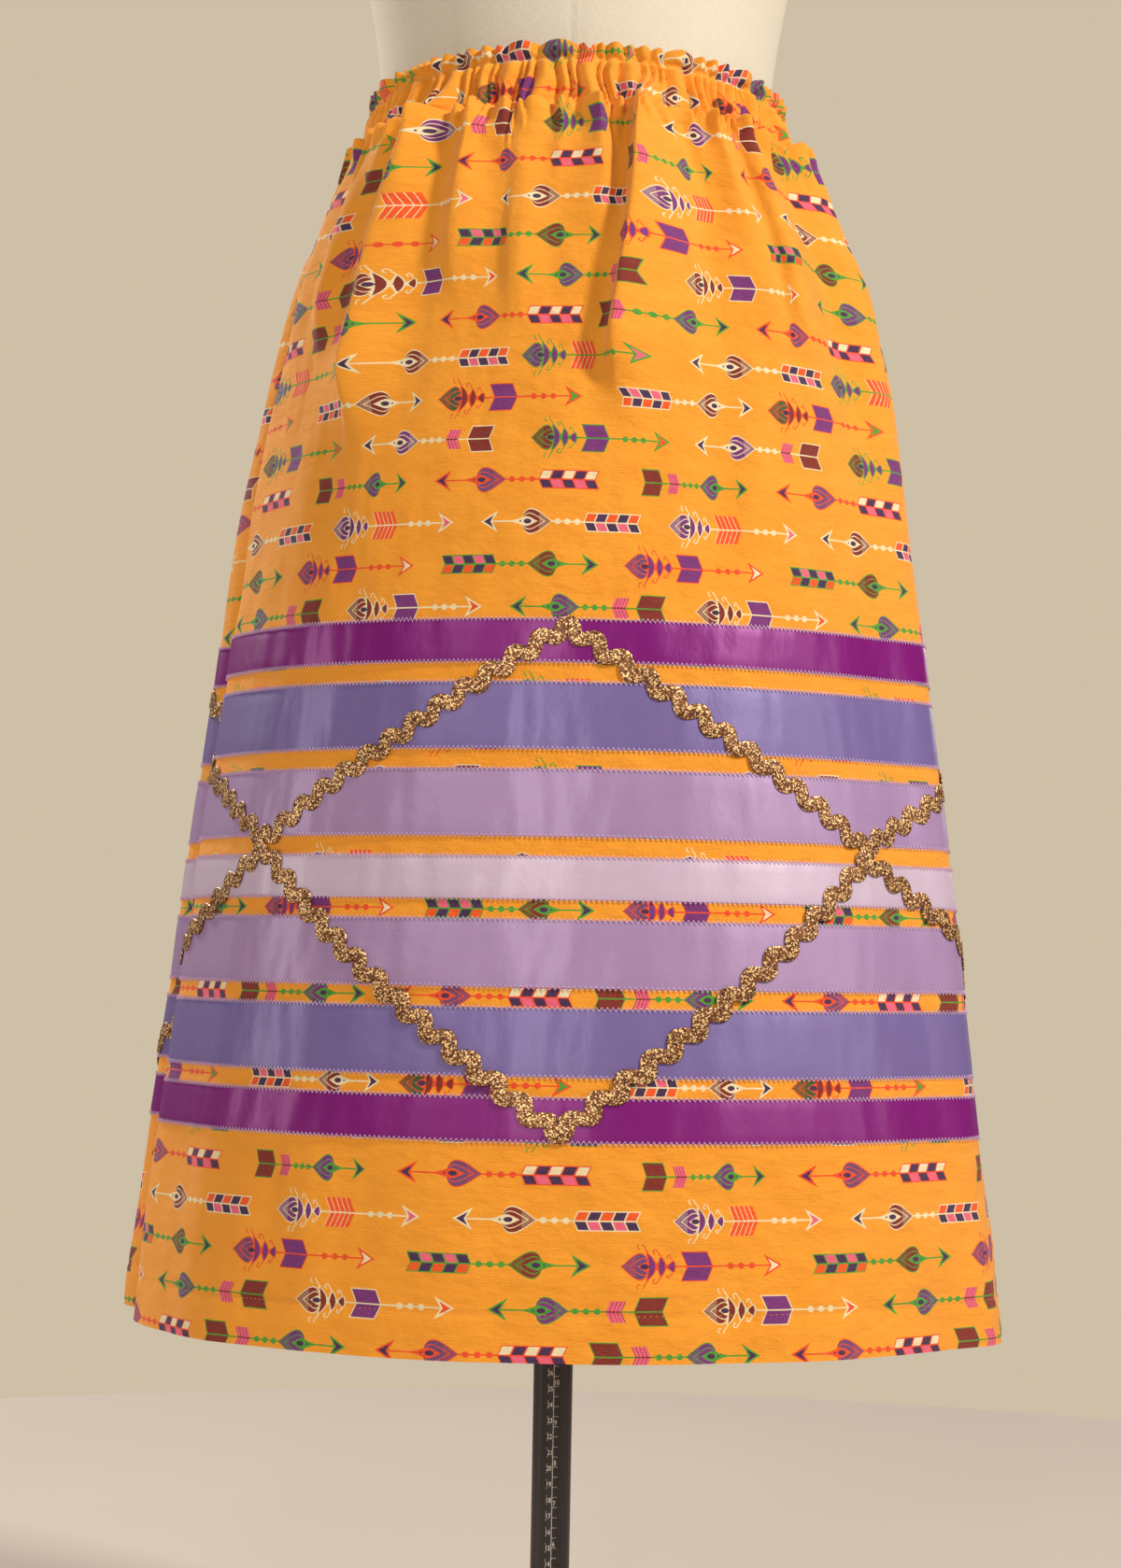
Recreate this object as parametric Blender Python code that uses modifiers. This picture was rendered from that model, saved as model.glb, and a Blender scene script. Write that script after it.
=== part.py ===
"""A ribbon skirt on a limbless dress form that stands on a ruled pole and a round foot.

Metres, +Z up. The origin is on the floor, on the pole's axis, and the skirt's front faces -Y.
The skirt is two cotton panels whose tops turn over into a gathered elastic casing, seven satin
ribbons sewn round it and two rickrack tapes that zigzag over the ribbons in a chain of diamonds.
"""

from math import cos, exp, pi, radians, sin

import bmesh
import bpy
from mathutils import Vector

COLLECTION = "ribbon_skirt_on_form"

# Round the skirt. Angle 0 is the centre front, and angles grow towards +X.
COLUMNS = 64
QUARTER = COLUMNS // 4
SEAM_GAP = 0.0003

# The skirt's levels, from the hem up. left, right, front and back are the outer face's distances
# from the pole's axis, and wall is the cloth's thickness, which is more where it is doubled.
LEVELS = (
    # z,     left,   right,  front,  back,   wall
    (0.2955, 0.2695, 0.2860, 0.2000, 0.1940, 0.0024),
    (0.3225, 0.2665, 0.2820, 0.1975, 0.1925, 0.0024),
    (0.3265, 0.2660, 0.2815, 0.1970, 0.1920, 0.0012),
    (0.3700, 0.2615, 0.2765, 0.1935, 0.1895, 0.0012),
    (0.4120, 0.2555, 0.2710, 0.1900, 0.1870, 0.0012),
    (0.4520, 0.2500, 0.2655, 0.1870, 0.1850, 0.0012),
    (0.5035, 0.2435, 0.2595, 0.1835, 0.1830, 0.0012),
    (0.5550, 0.2375, 0.2540, 0.1805, 0.1815, 0.0012),
    (0.5920, 0.2335, 0.2495, 0.1785, 0.1805, 0.0012),
    (0.6435, 0.2260, 0.2420, 0.1760, 0.1790, 0.0012),
    (0.6950, 0.2195, 0.2350, 0.1740, 0.1780, 0.0012),
    (0.7350, 0.2145, 0.2300, 0.1725, 0.1770, 0.0012),
    (0.8100, 0.2050, 0.2185, 0.1685, 0.1735, 0.0012),
    (0.8850, 0.1895, 0.2070, 0.1600, 0.1650, 0.0012),
    (0.9550, 0.1740, 0.1880, 0.1480, 0.1520, 0.0012),
    (1.0050, 0.1565, 0.1615, 0.1360, 0.1375, 0.0012),
    (1.0380, 0.1405, 0.1420, 0.1250, 0.1240, 0.0020),
    (1.0430, 0.1365, 0.1375, 0.1205, 0.1195, 0.0050),
    (1.0700, 0.1345, 0.1355, 0.1195, 0.1185, 0.0050),
    (1.0740, 0.1335, 0.1345, 0.1185, 0.1175, 0.0024),
    (1.0805, 0.1340, 0.1355, 0.1190, 0.1180, 0.0024),
)
# The waist stands higher at the centre front than at the sides and back.
FRONT_RISE, RISE_FROM, RISE_TO = 0.0100, 0.7350, 1.0400

# The largest folds: ridges stand out by depth, and troughs have a negative depth. A fold runs from
# angle_top at z_top to angle_low at z_low, and dies away over fade at each end that is not an edge.
FOLDS = (
    # angle_top, angle_low, half_width, depth,  z_top, z_low, fade
    (-40.0, -42.0, 9.0, 0.0110, 1.040, 0.850, 0.060),
    (-62.0, -66.0, 8.0, 0.0060, 1.040, 0.900, 0.070),
    (-74.0, -74.0, 9.0, 0.0060, 1.000, 0.200, 0.090),
    (-89.0, -89.0, 8.0, -0.0110, 0.960, 0.200, 0.090),
    (-104.0, -104.0, 9.0, 0.0110, 0.980, 0.200, 0.120),
    (-16.0, -14.0, 8.0, 0.0040, 1.040, 0.960, 0.050),
    (28.0, 11.0, 8.0, 0.0080, 1.040, 0.880, 0.060),
    (24.0, 24.0, 9.0, -0.0050, 0.860, 0.660, 0.090),
    (46.0, 48.0, 7.0, 0.0070, 1.040, 0.960, 0.060),
    (66.0, 66.0, 9.0, 0.0070, 1.040, 0.200, 0.070),
    (92.0, 90.0, 8.0, -0.0040, 0.900, 0.200, 0.120),
    (112.0, 108.0, 9.0, 0.0070, 1.040, 0.200, 0.100),
    (139.0, 137.0, 8.0, 0.0080, 1.040, 0.860, 0.070),
    (162.0, 166.0, 8.0, 0.0060, 1.040, 0.900, 0.070),
    (-174.0, -172.0, 8.0, 0.0070, 1.040, 0.840, 0.080),
    (-150.0, -148.0, 8.0, 0.0060, 1.040, 0.930, 0.060),
    (-129.0, -132.0, 8.0, 0.0080, 1.040, 0.880, 0.070),
)

# Ribbons from the lowest up, with the strip of cotton between two of them.
RIBBON_LOW, RIBBON_GAP = 0.4205, 0.0120
RIBBONS = (
    # name,                   width,  colour
    ("ribbon_1_purple", 0.0255, (0.190, 0.010, 0.170)),
    ("ribbon_2_blue_violet", 0.0395, (0.155, 0.115, 0.420)),
    ("ribbon_3_lilac", 0.0395, (0.350, 0.250, 0.520)),
    ("ribbon_4_pale_lilac", 0.0250, (0.560, 0.450, 0.620)),
    ("ribbon_5_lilac", 0.0395, (0.350, 0.250, 0.520)),
    ("ribbon_6_blue_violet", 0.0395, (0.155, 0.115, 0.420)),
    ("ribbon_7_purple", 0.0255, (0.190, 0.010, 0.170)),
)
RIBBON_OFF, RIBBON_THICK = 0.0007, 0.0010

# The rickrack's centre lines: columns from the centre front where two tapes meet and where a
# diamond has its point, and the heights there.
TAPE_MEETS, TAPE_POINTS = (9, 32), (0, 21)
TAPE_TOP, TAPE_LOW = 0.7230, 0.4270
UPPER_MEET, LOWER_MEET = 0.6010, 0.5840
TAPE_WIDTH, TAPE_THICK, TAPE_OFF = 0.0120, 0.0012, 0.0030

# The dress form. Rings of the body: height, half width, depth in front and depth behind.
FORM_RINGS = (
    # z,     half,   front,  back
    (0.800, 0.1400, 0.0990, 0.1060),
    (0.806, 0.1480, 0.1060, 0.1130),
    (0.870, 0.1540, 0.1090, 0.1200),
    (0.950, 0.1430, 0.1070, 0.1150),
    (1.015, 0.1280, 0.1050, 0.1070),
    (1.070, 0.1250, 0.1080, 0.1060),
    (1.130, 0.1310, 0.1100, 0.1030),
    (1.220, 0.1500, 0.1260, 0.1080),
    (1.290, 0.1560, 0.1150, 0.1090),
    (1.355, 0.1620, 0.0950, 0.1010),
    (1.393, 0.1580, 0.0790, 0.0870),
    (1.425, 0.1180, 0.0670, 0.0750),
    (1.445, 0.0740, 0.0590, 0.0670),
    (1.475, 0.0570, 0.0540, 0.0580),
    (1.504, 0.0540, 0.0520, 0.0540),
)
FORM_COLUMNS = 20
CAP_BASE, CAP_RADIUS, CAP_RISE = 1.5046, 0.0560, 0.0160

# The stand.
POLE_RADIUS, POLE_LOW, POLE_TOP = 0.0125, 0.0103, 1.1600
BORE_RADIUS, BORE_TOP = 0.0150, 1.3100
FOOT_RADIUS, FOOT_EDGE, FOOT_MIDDLE = 0.1650, 0.0100, 0.0180
BOSS_RADIUS, BOSS_TOP, FOOT_SOCKET = 0.0280, 0.0480, 0.0128
FLANGE_RADIUS, FLANGE_THICK, SLEEVE_RADIUS, SLEEVE_LOW = 0.0520, 0.0040, 0.0200, 0.7450
SLEEVE_BORE, SLEEVE_TOP = 0.0132, 0.7994
SCREW_RADIUS, SCREW_LENGTH, SCREW_Z = 0.0030, 0.0130, 0.7600
KNOB_RADIUS, KNOB_LENGTH = 0.0120, 0.0140
ROUND_SIDES, SMALL_SIDES = 32, 20


def clear_scene():
    for old in list(bpy.data.objects):
        bpy.data.objects.remove(old, do_unlink=True)


def new_collection(name):
    made = bpy.data.collections.new(name)
    bpy.context.scene.collection.children.link(made)
    return made


def material(name, colour, roughness, metallic=0.0):
    made = bpy.data.materials.new(name)
    made.use_nodes = True
    shader = made.node_tree.nodes["Principled BSDF"]
    shader.inputs["Base Color"].default_value = (*colour, 1.0)
    shader.inputs["Roughness"].default_value = roughness
    shader.inputs["Metallic"].default_value = metallic
    return made


def add_object(mesh, name, finish, collection):
    made = bpy.data.objects.new(name, mesh)
    made.data.materials.append(finish)
    collection.objects.link(made)
    return made


def ease(x):
    """From 0 at x = 0 to 1 at x = 1, level at both ends."""
    x = min(max(x, 0.0), 1.0)
    return x * x * (3.0 - 2.0 * x)


def fold_depth(angle, z):
    total = 0.0
    for angle_top, angle_low, half_width, depth, z_top, z_low, fade in FOLDS:
        along = ease((z - z_low) / fade) * ease((z_top + fade / 2 - z) / (fade / 2))
        middle = angle_low + (angle_top - angle_low) * (z - z_low) / (z_top - z_low)
        away = (angle - middle + 180.0) % 360.0 - 180.0
        total += depth * along * exp(-((away / half_width) ** 2) * 1.4)
    return total


def column_angle(column):
    return 360.0 * column / COLUMNS


def outward(angle, half, deep):
    """The level direction square to an ellipse of these half sizes."""
    turn = radians(angle)
    return Vector((sin(turn) / half, -cos(turn) / deep, 0.0)).normalized()


def level_point(level, column, out=0.0):
    """A point of the skirt's outer face on a level, moved out by a distance."""
    z, left, right, front, back, _ = level
    angle = column_angle(column)
    turn = radians(angle)
    half = right if sin(turn) > 0.0 else left
    deep = front if cos(turn) > 0.0 else back
    normal = outward(angle, half, deep)
    rise = FRONT_RISE * max(cos(turn), 0.0) * ease((z - RISE_FROM) / (RISE_TO - RISE_FROM))
    place = Vector((half * sin(turn), -deep * cos(turn), z + rise))
    return place + normal * (fold_depth(angle, z) + out)


def skirt_point(column, z, out=0.0):
    """A point on the facets of the skirt's outer face at height z, moved out by a distance."""
    upper = next(i for i, level in enumerate(LEVELS) if level[0] >= z and i > 0)
    low, high = LEVELS[upper - 1], LEVELS[upper]
    share = (z - low[0]) / (high[0] - low[0])
    return level_point(low, column, out).lerp(level_point(high, column, out), share)


def wall(name, outer, inner, closed, finish, collection):
    """A closed wall between two grids of points, given as rows from the bottom up."""
    mesh = bpy.data.meshes.new(name)
    made = bmesh.new()
    faces_out = [[made.verts.new(p) for p in row] for row in outer]
    faces_in = [[made.verts.new(p) for p in row] for row in inner]
    rows, columns = len(outer), len(outer[0])
    spans = columns if closed else columns - 1
    for row in range(rows - 1):
        for i in range(spans):
            j = (i + 1) % columns
            a, b = faces_out[row], faces_out[row + 1]
            made.faces.new((a[i], a[j], b[j], b[i]))
            a, b = faces_in[row], faces_in[row + 1]
            made.faces.new((a[i], b[i], b[j], a[j]))
    for row, turned in ((0, True), (rows - 1, False)):
        for i in range(spans):
            j = (i + 1) % columns
            edge = (faces_out[row][i], faces_out[row][j], faces_in[row][j], faces_in[row][i])
            made.faces.new(edge[::-1] if turned else edge)
    if not closed:
        for column, turned in ((0, False), (columns - 1, True)):
            for row in range(rows - 1):
                low_out, high_out = faces_out[row][column], faces_out[row + 1][column]
                low_in, high_in = faces_in[row][column], faces_in[row + 1][column]
                edge = (low_out, high_out, high_in, low_in)
                made.faces.new(edge[::-1] if turned else edge)
    bmesh.ops.triangulate(made, faces=made.faces[:], quad_method="FIXED")
    made.to_mesh(mesh)
    made.free()
    mesh.shade_smooth()
    mesh.set_sharp_from_angle(angle=radians(50))
    return add_object(mesh, name, finish, collection)


def skirt_panel(name, first, last, finish, collection):
    """One panel from column first to last, drawn back at its ends to leave the side seams open."""

    def row(level, out):
        points = [level_point(level, column, out) for column in range(first, last + 1)]
        for end, inside in ((0, 1), (-1, -2)):
            step = (points[inside] - points[end]).normalized() * (SEAM_GAP / 2)
            points[end] = points[end] + step
        return points

    outer = [row(level, 0.0) for level in LEVELS]
    inner = [row(level, -level[5]) for level in LEVELS]
    return wall(name, outer, inner, False, finish, collection)


def ribbon(name, low, width, finish, collection):
    columns = range(COLUMNS)
    heights = (low, low + width)
    near, far = RIBBON_OFF, RIBBON_OFF + RIBBON_THICK
    outer = [[skirt_point(c, z, far) for c in columns] for z in heights]
    inner = [[skirt_point(c, z, near) for c in columns] for z in heights]
    return wall(name, outer, inner, True, finish, collection)


def tape_height(column, at_points, at_meets):
    """The height of a tape's centre line: straight runs between points and meeting places."""
    away = min(column % COLUMNS, COLUMNS - column % COLUMNS)
    stops = (
        (TAPE_POINTS[0], at_points),
        (TAPE_MEETS[0], at_meets),
        (TAPE_POINTS[1], at_points),
        (TAPE_MEETS[1], at_meets),
    )
    for (start, z_start), (end, z_end) in zip(stops, stops[1:], strict=False):
        if start <= away <= end:
            return z_start + (z_end - z_start) * (away - start) / (end - start)
    return at_meets


def rickrack(name, at_points, at_meets, finish, collection):
    columns = range(COLUMNS)
    middle = [tape_height(c, at_points, at_meets) for c in columns]
    near, far = TAPE_OFF, TAPE_OFF + TAPE_THICK
    sides = (-TAPE_WIDTH / 2, TAPE_WIDTH / 2)
    outer = [[skirt_point(c, middle[c] + side, far) for c in columns] for side in sides]
    inner = [[skirt_point(c, middle[c] + side, near) for c in columns] for side in sides]
    return wall(name, outer, inner, True, finish, collection)


def cylinder(name, radius, length, place, turn, finish, collection, sides=ROUND_SIDES):
    bpy.ops.mesh.primitive_cylinder_add(
        vertices=sides, radius=radius, depth=length, location=place, rotation=turn
    )
    made = bpy.context.object
    made.name = made.data.name = name
    for old in made.users_collection:
        old.objects.unlink(made)
    collection.objects.link(made)
    if finish:
        made.data.materials.append(finish)
        made.data.shade_smooth()
        made.data.set_sharp_from_angle(angle=radians(35))
    return made


def bevel(target, width, segments=1):
    edge = target.modifiers.new("edge", "BEVEL")
    edge.width = width
    edge.segments = segments
    edge.limit_method = "ANGLE"
    edge.angle_limit = radians(40)


def turned(name, profile, finish, collection, sides=ROUND_SIDES):
    """A profile of (radius, height) turned about +Z, running down its outer side."""
    mesh = bpy.data.meshes.new(name)
    points = [(radius, 0.0, z) for radius, z in profile]
    mesh.from_pydata(points, [(i, i + 1) for i in range(len(points) - 1)], [])
    made = add_object(mesh, name, finish, collection)
    screw = made.modifiers.new("turn", "SCREW")
    screw.steps = screw.render_steps = sides
    screw.use_merge_vertices = True
    screw.merge_threshold = 0.00005
    screw.use_smooth_shade = True
    return made


def foot(finish, collection):
    edge = 0.003
    return turned(
        "foot",
        (
            (0.0, POLE_LOW - 0.0003),
            (FOOT_SOCKET, POLE_LOW - 0.0003),
            (FOOT_SOCKET, BOSS_TOP),
            (BOSS_RADIUS - edge, BOSS_TOP),
            (BOSS_RADIUS, BOSS_TOP - edge),
            (BOSS_RADIUS + edge, FOOT_MIDDLE),
            (FOOT_RADIUS - 2 * edge, FOOT_EDGE),
            (FOOT_RADIUS, FOOT_EDGE - edge),
            (FOOT_RADIUS, edge / 2),
            (FOOT_RADIUS - edge / 2, 0.0),
            (0.0, 0.0),
        ),
        finish,
        collection,
    )


def sleeve(finish, collection):
    """The flanged sleeve under the form that slides on the pole."""
    edge = 0.0015
    return turned(
        "sleeve",
        (
            (SLEEVE_BORE, SLEEVE_LOW),
            (SLEEVE_BORE, SLEEVE_TOP),
            (FLANGE_RADIUS - edge, SLEEVE_TOP),
            (FLANGE_RADIUS, SLEEVE_TOP - edge),
            (FLANGE_RADIUS, SLEEVE_TOP - FLANGE_THICK),
            (SLEEVE_RADIUS, SLEEVE_TOP - FLANGE_THICK - edge),
            (SLEEVE_RADIUS, SLEEVE_LOW + edge),
            (SLEEVE_RADIUS - edge, SLEEVE_LOW),
            (SLEEVE_BORE, SLEEVE_LOW),
        ),
        finish,
        collection,
    )


def dress_form(finish, collection, cutters):
    """The body: a loft of rings smoothed by subdivision, bored for the pole from below."""
    mesh = bpy.data.meshes.new("form_body")
    made = bmesh.new()
    rings = []
    for z, half, front, back in FORM_RINGS:
        ring = []
        for i in range(FORM_COLUMNS):
            turn = 2 * pi * i / FORM_COLUMNS
            deep = front if cos(turn) > 0.0 else back
            ring.append(made.verts.new((half * sin(turn), -deep * cos(turn), z)))
        rings.append(ring)
    for low, high in zip(rings, rings[1:], strict=False):
        for i in range(FORM_COLUMNS):
            j = (i + 1) % FORM_COLUMNS
            made.faces.new((low[i], low[j], high[j], high[i]))
    made.faces.new(rings[0][::-1])
    made.faces.new(rings[-1])
    made.to_mesh(mesh)
    made.free()
    mesh.shade_smooth()
    body = add_object(mesh, "form_body", finish, collection)
    smooth = body.modifiers.new("smooth", "SUBSURF")
    smooth.levels = smooth.render_levels = 1
    bore_low = FORM_RINGS[0][0] - 0.02
    bore = cylinder(
        "form_bore",
        BORE_RADIUS,
        BORE_TOP - bore_low,
        (0.0, 0.0, (BORE_TOP + bore_low) / 2),
        (0.0, 0.0, 0.0),
        None,
        cutters,
    )
    bore.hide_render = True
    bore.display_type = "WIRE"
    cut = body.modifiers.new("bore", "BOOLEAN")
    cut.operation = "DIFFERENCE"
    cut.object = bore
    return body


def neck_cap(finish, collection):
    edge, steps = 0.003, 5
    dome = [
        (CAP_RADIUS * sin(pi / 2 * i / steps), CAP_BASE + edge + CAP_RISE * cos(pi / 2 * i / steps))
        for i in range(steps + 1)
    ]
    return turned(
        "neck_cap",
        (*dome, (CAP_RADIUS, CAP_BASE + edge / 2), (CAP_RADIUS - edge / 2, CAP_BASE), (0.0, CAP_BASE)),
        finish,
        collection,
    )


def thumb_screw(finish, collection):
    """The clamp screw behind the sleeve: a round stem with a knob, turned as one piece."""
    start = SLEEVE_RADIUS + SEAM_GAP
    edge = 0.0015
    stem_end, knob_end = SCREW_LENGTH, SCREW_LENGTH + KNOB_LENGTH
    made = turned(
        "thumb_screw",
        (
            (0.0, knob_end),
            (KNOB_RADIUS - edge, knob_end),
            (KNOB_RADIUS, knob_end - edge),
            (KNOB_RADIUS, stem_end + edge),
            (KNOB_RADIUS - edge, stem_end),
            (SCREW_RADIUS, stem_end),
            (SCREW_RADIUS, 0.0),
            (0.0, 0.0),
        ),
        finish,
        collection,
        SMALL_SIDES,
    )
    made.location = (0.0, start, SCREW_Z)
    made.rotation_euler = (-pi / 2, 0.0, 0.0)
    return made


def build():
    clear_scene()
    parts = new_collection(COLLECTION)
    cutters = new_collection("cutters")
    cutters.hide_render = True

    cotton = material("orange_cotton", (0.870, 0.340, 0.030), 0.85)
    glitter = material("gold_rickrack", (0.420, 0.200, 0.060), 0.35, 0.6)
    linen = material("form_linen", (0.780, 0.730, 0.620), 0.90)
    black = material("black_metal", (0.018, 0.016, 0.016), 0.40, 0.3)
    cap_wood = material("cap_wood", (0.250, 0.120, 0.050), 0.45)

    skirt_panel("skirt_front", -QUARTER, QUARTER, cotton, parts)
    skirt_panel("skirt_back", QUARTER, 3 * QUARTER, cotton, parts)

    low = RIBBON_LOW
    for name, width, colour in RIBBONS:
        ribbon(name, low, width, material(name + "_satin", colour, 0.35), parts)
        low += width + RIBBON_GAP
    rickrack("rickrack_upper", TAPE_TOP, UPPER_MEET, glitter, parts)
    rickrack("rickrack_lower", TAPE_LOW, LOWER_MEET, glitter, parts)

    dress_form(linen, parts, cutters)
    neck_cap(cap_wood, parts)
    sleeve(black, parts)
    thumb_screw(black, parts)
    pole_middle = (0.0, 0.0, (POLE_LOW + POLE_TOP) / 2)
    pole = cylinder(
        "pole", POLE_RADIUS, POLE_TOP - POLE_LOW, pole_middle, (0.0, 0.0, 0.0), black, parts
    )
    bevel(pole, 0.001)
    foot(black, parts)


build()
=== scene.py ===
"""Looks for the ribbon skirt on its limbless dress form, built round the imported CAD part.

Metres, +Z up, the skirt's front faces -Y. Round the skirt, angle 0 is the centre front and angles
grow towards +X. The cotton panels are thin walls on the form of their CAD solids, with the gathers
and folds added; the ribbons, tapes, stitches and print all lie on that same surface.
"""

from collections import namedtuple
from math import cos, pi, radians, sin

import bpy
import numpy as np
from mathutils import Matrix, Vector, noise

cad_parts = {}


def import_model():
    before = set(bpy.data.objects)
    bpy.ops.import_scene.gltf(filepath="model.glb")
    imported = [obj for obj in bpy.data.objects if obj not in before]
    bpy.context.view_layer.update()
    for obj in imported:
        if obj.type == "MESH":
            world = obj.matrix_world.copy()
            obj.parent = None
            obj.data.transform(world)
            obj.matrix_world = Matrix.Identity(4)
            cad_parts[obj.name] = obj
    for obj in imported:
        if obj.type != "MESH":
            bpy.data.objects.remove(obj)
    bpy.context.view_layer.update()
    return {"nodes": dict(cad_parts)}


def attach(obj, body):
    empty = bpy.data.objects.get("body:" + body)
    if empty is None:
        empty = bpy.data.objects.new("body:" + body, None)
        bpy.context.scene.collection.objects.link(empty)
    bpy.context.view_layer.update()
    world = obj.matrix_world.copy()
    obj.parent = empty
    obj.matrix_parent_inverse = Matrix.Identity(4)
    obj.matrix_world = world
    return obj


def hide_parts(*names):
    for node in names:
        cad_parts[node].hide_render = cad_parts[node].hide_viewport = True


# --- The skirt's form, as in the CAD part ---
# Levels of the outer face, from the hem up: height and the distances from the pole's axis.
LEVELS = (
    # z, left, right, front, back, in millimetres
    (295.5, 269.5, 286, 200, 194),
    (322.5, 266.5, 282, 197.5, 192.5),
    (370, 261.5, 276.5, 193.5, 189.5),
    (412, 255.5, 271, 190, 187),
    (452, 250, 265.5, 187, 185),
    (503.5, 243.5, 259.5, 183.5, 183),
    (555, 237.5, 254, 180.5, 181.5),
    (592, 233.5, 249.5, 178.5, 180.5),
    (643.5, 226, 242, 176, 179),
    (695, 219.5, 235, 174, 178),
    (735, 214.5, 230, 172.5, 177),
    (810, 205, 218.5, 168.5, 173.5),
    (885, 189.5, 207, 160, 165),
    (955, 174, 188, 148, 152),
    (1005, 156.5, 161.5, 136, 137.5),
    (1038, 140.5, 142, 125, 124),
    (1043, 136.5, 137.5, 120.5, 119.5),
    (1070, 134.5, 135.5, 119.5, 118.5),
    (1074, 133.5, 134.5, 118.5, 117.5),
    (1080.5, 134, 135.5, 119, 118),
)
HEM, HEM_STITCH, SEW_LOW, SEW_HIGH, TOP = 0.2955, 0.3225, 1.0415, 1.0715, 1.0805
FRONT_RISE, RISE_FROM, RISE_TO = 0.0100, 0.7350, 1.0400

# The largest folds. lean moves a ridge's crest sideways, in degrees, so that it laps over. The last
# three values are left out where they are fold_at's usual ones.
FOLDS = (
    # angle_top, angle_low, half_width, depth, z_low, fade, lean, z_top
    (-41, -43, 9, 0.0095, 0.83),
    (-35.5, -40.5, 4.6, 0.0115, 0.82, 0.07, -4.8, 1.034),
    (-54, -58, 5, 0.01, 0.88, 0.06, -2.4),
    (-66, -68, 6, 0.0081, 0.88, 0.07, -2),
    (-76, -74, 8, 0.003, 0.2, 0.09, -2, 1.02),
    (-89, -88, 8, -0.0125, 0.2, 0.09, 0, 0.96),
    (-104, -103, 9, 0.018, 0.2, 0.12, 3, 0.98),
    (-24, -22, 5, 0.0068, 0.9, 0.06, -1.4),
    (-11, -9, 5, 0.0064, 0.88, 0.06, -1.4),
    (4, 1, 5, 0.0068, 0.93, 0.06, 1),
    (18.5, 8.5, 4.8, 0.0125, 0.84, 0.06, -4.8),
    (17, 8, 9, 0.0068, 0.84, 0.08),
    (28, 22, 7, -0.0054, 0.7, 0.11, 0, 1.02),
    (35, 38, 6.5, 0.0081, 0.88),
    (45, 47, 5.5, 0.011, 0.88, 0.06, -3.4),
    (57, 58, 5, -0.0048, 0.82, 0.07, 0, 1.02),
    (67, 66, 9, 0.0108, 0.2, 0.07),
    (80, 82, 5, 0.0068, 0.9),
    (92, 90, 8, -0.004, 0.2, 0.12, 0, 0.9),
    (100, 100, 6, 0.0081, 0.87, 0.06, 2),
    (114, 108, 9, 0.0095, 0.2, 0.1),
    (127, 125, 5, 0.0068, 0.91),
    (140, 137, 7, 0.0115, 0.86, 0.07, 4),
    (152, 153, 5, -0.0048, 0.85, 0.08, 0, 1.02),
    (163, 166, 7, 0.0095, 0.89, 0.07),
    (-174, -172, 6, 0.0108, 0.83, 0.08, -3.6),
    (-161, -160, 5, 0.0068, 0.93),
    (-148, -146, 7, 0.0095, 0.88, 0.07),
    (-137, -137, 5, -0.0048, 0.88, 0.06, 0, 1.02),
    (-127, -131, 7, 0.0108, 0.87, 0.07, 3.4),
    (-115, -116, 4.6, 0.0068, 0.92),
)
FOLD_SHARPNESS = 1.4

# Smaller ridges that run down from the casing's lower seam, given one by one on the front.
PUCKERS = (
    # angle, drift, width_top, width_low, depth, length
    (-59, 1, 1.3, 3.6, 0.005, 0.06),
    (-50, -1, 1.3, 3.4, 0.0056, 0.085),
    (-44, 0, 1, 2.2, 0.0036, 0.03),
    (-35.3, 2, 1.3, 3.6, 0.0064, 0.11),
    (-29, 0.5, 1, 2.4, 0.0036, 0.04),
    (-23.5, -1.5, 1.2, 3.4, 0.0056, 0.095),
    (-16.6, 1, 1.1, 3.2, 0.005, 0.065),
    (-10.5, 0, 0.9, 2.2, 0.003, 0.028),
    (-2.8, -2, 1.1, 3.8, 0.0052, 0.12),
    (4.2, 1.5, 0.9, 3.2, 0.0072, 0.085),
    (11, 0, 1, 2.4, 0.0034, 0.035),
    (17, -2.5, 1.2, 3.4, 0.0048, 0.1),
    (24, 0, 1, 2.4, 0.004, 0.045),
    (29.5, 0.5, 1, 2.6, 0.0044, 0.06),
    (34, 1.5, 1.2, 3.4, 0.0056, 0.1),
    (38.5, -0.5, 0.9, 2.2, 0.0044, 0.04),
    (46, 1.5, 1.2, 3.8, 0.006, 0.12),
    (53.5, 0, 1.1, 2.8, 0.0046, 0.06),
)
HIDDEN_PUCKERS = 36

# --- The ribbons and the tapes ---
RIBBON_LOW, RIBBON_GAP = 0.4205, 0.0120
RIBBONS = (
    # name,                   width,  colour as seen on a screen, finish
    ("ribbon_1_purple", 0.0255, (118, 16, 108), "purple_satin"),
    ("ribbon_2_blue_violet", 0.0395, (114, 97, 150), "blue_violet_satin"),
    ("ribbon_3_lilac", 0.0395, (160, 129, 168), "lilac_satin"),
    ("ribbon_4_pale_lilac", 0.0250, (194, 172, 190), "pale_lilac_satin"),
    ("ribbon_5_lilac", 0.0395, (160, 129, 168), "lilac_satin"),
    ("ribbon_6_blue_violet", 0.0395, (114, 97, 150), "blue_violet_satin"),
    ("ribbon_7_purple", 0.0255, (118, 16, 108), "purple_satin"),
)
RIBBON_OFF, RIBBON_THICK, RIBBON_ROUND, RIBBON_ROWS = 0.0003, 0.0006, 0.0006, 8
RIBBON_ANGLES = np.linspace(-89.9, 270.0, 481)

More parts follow.
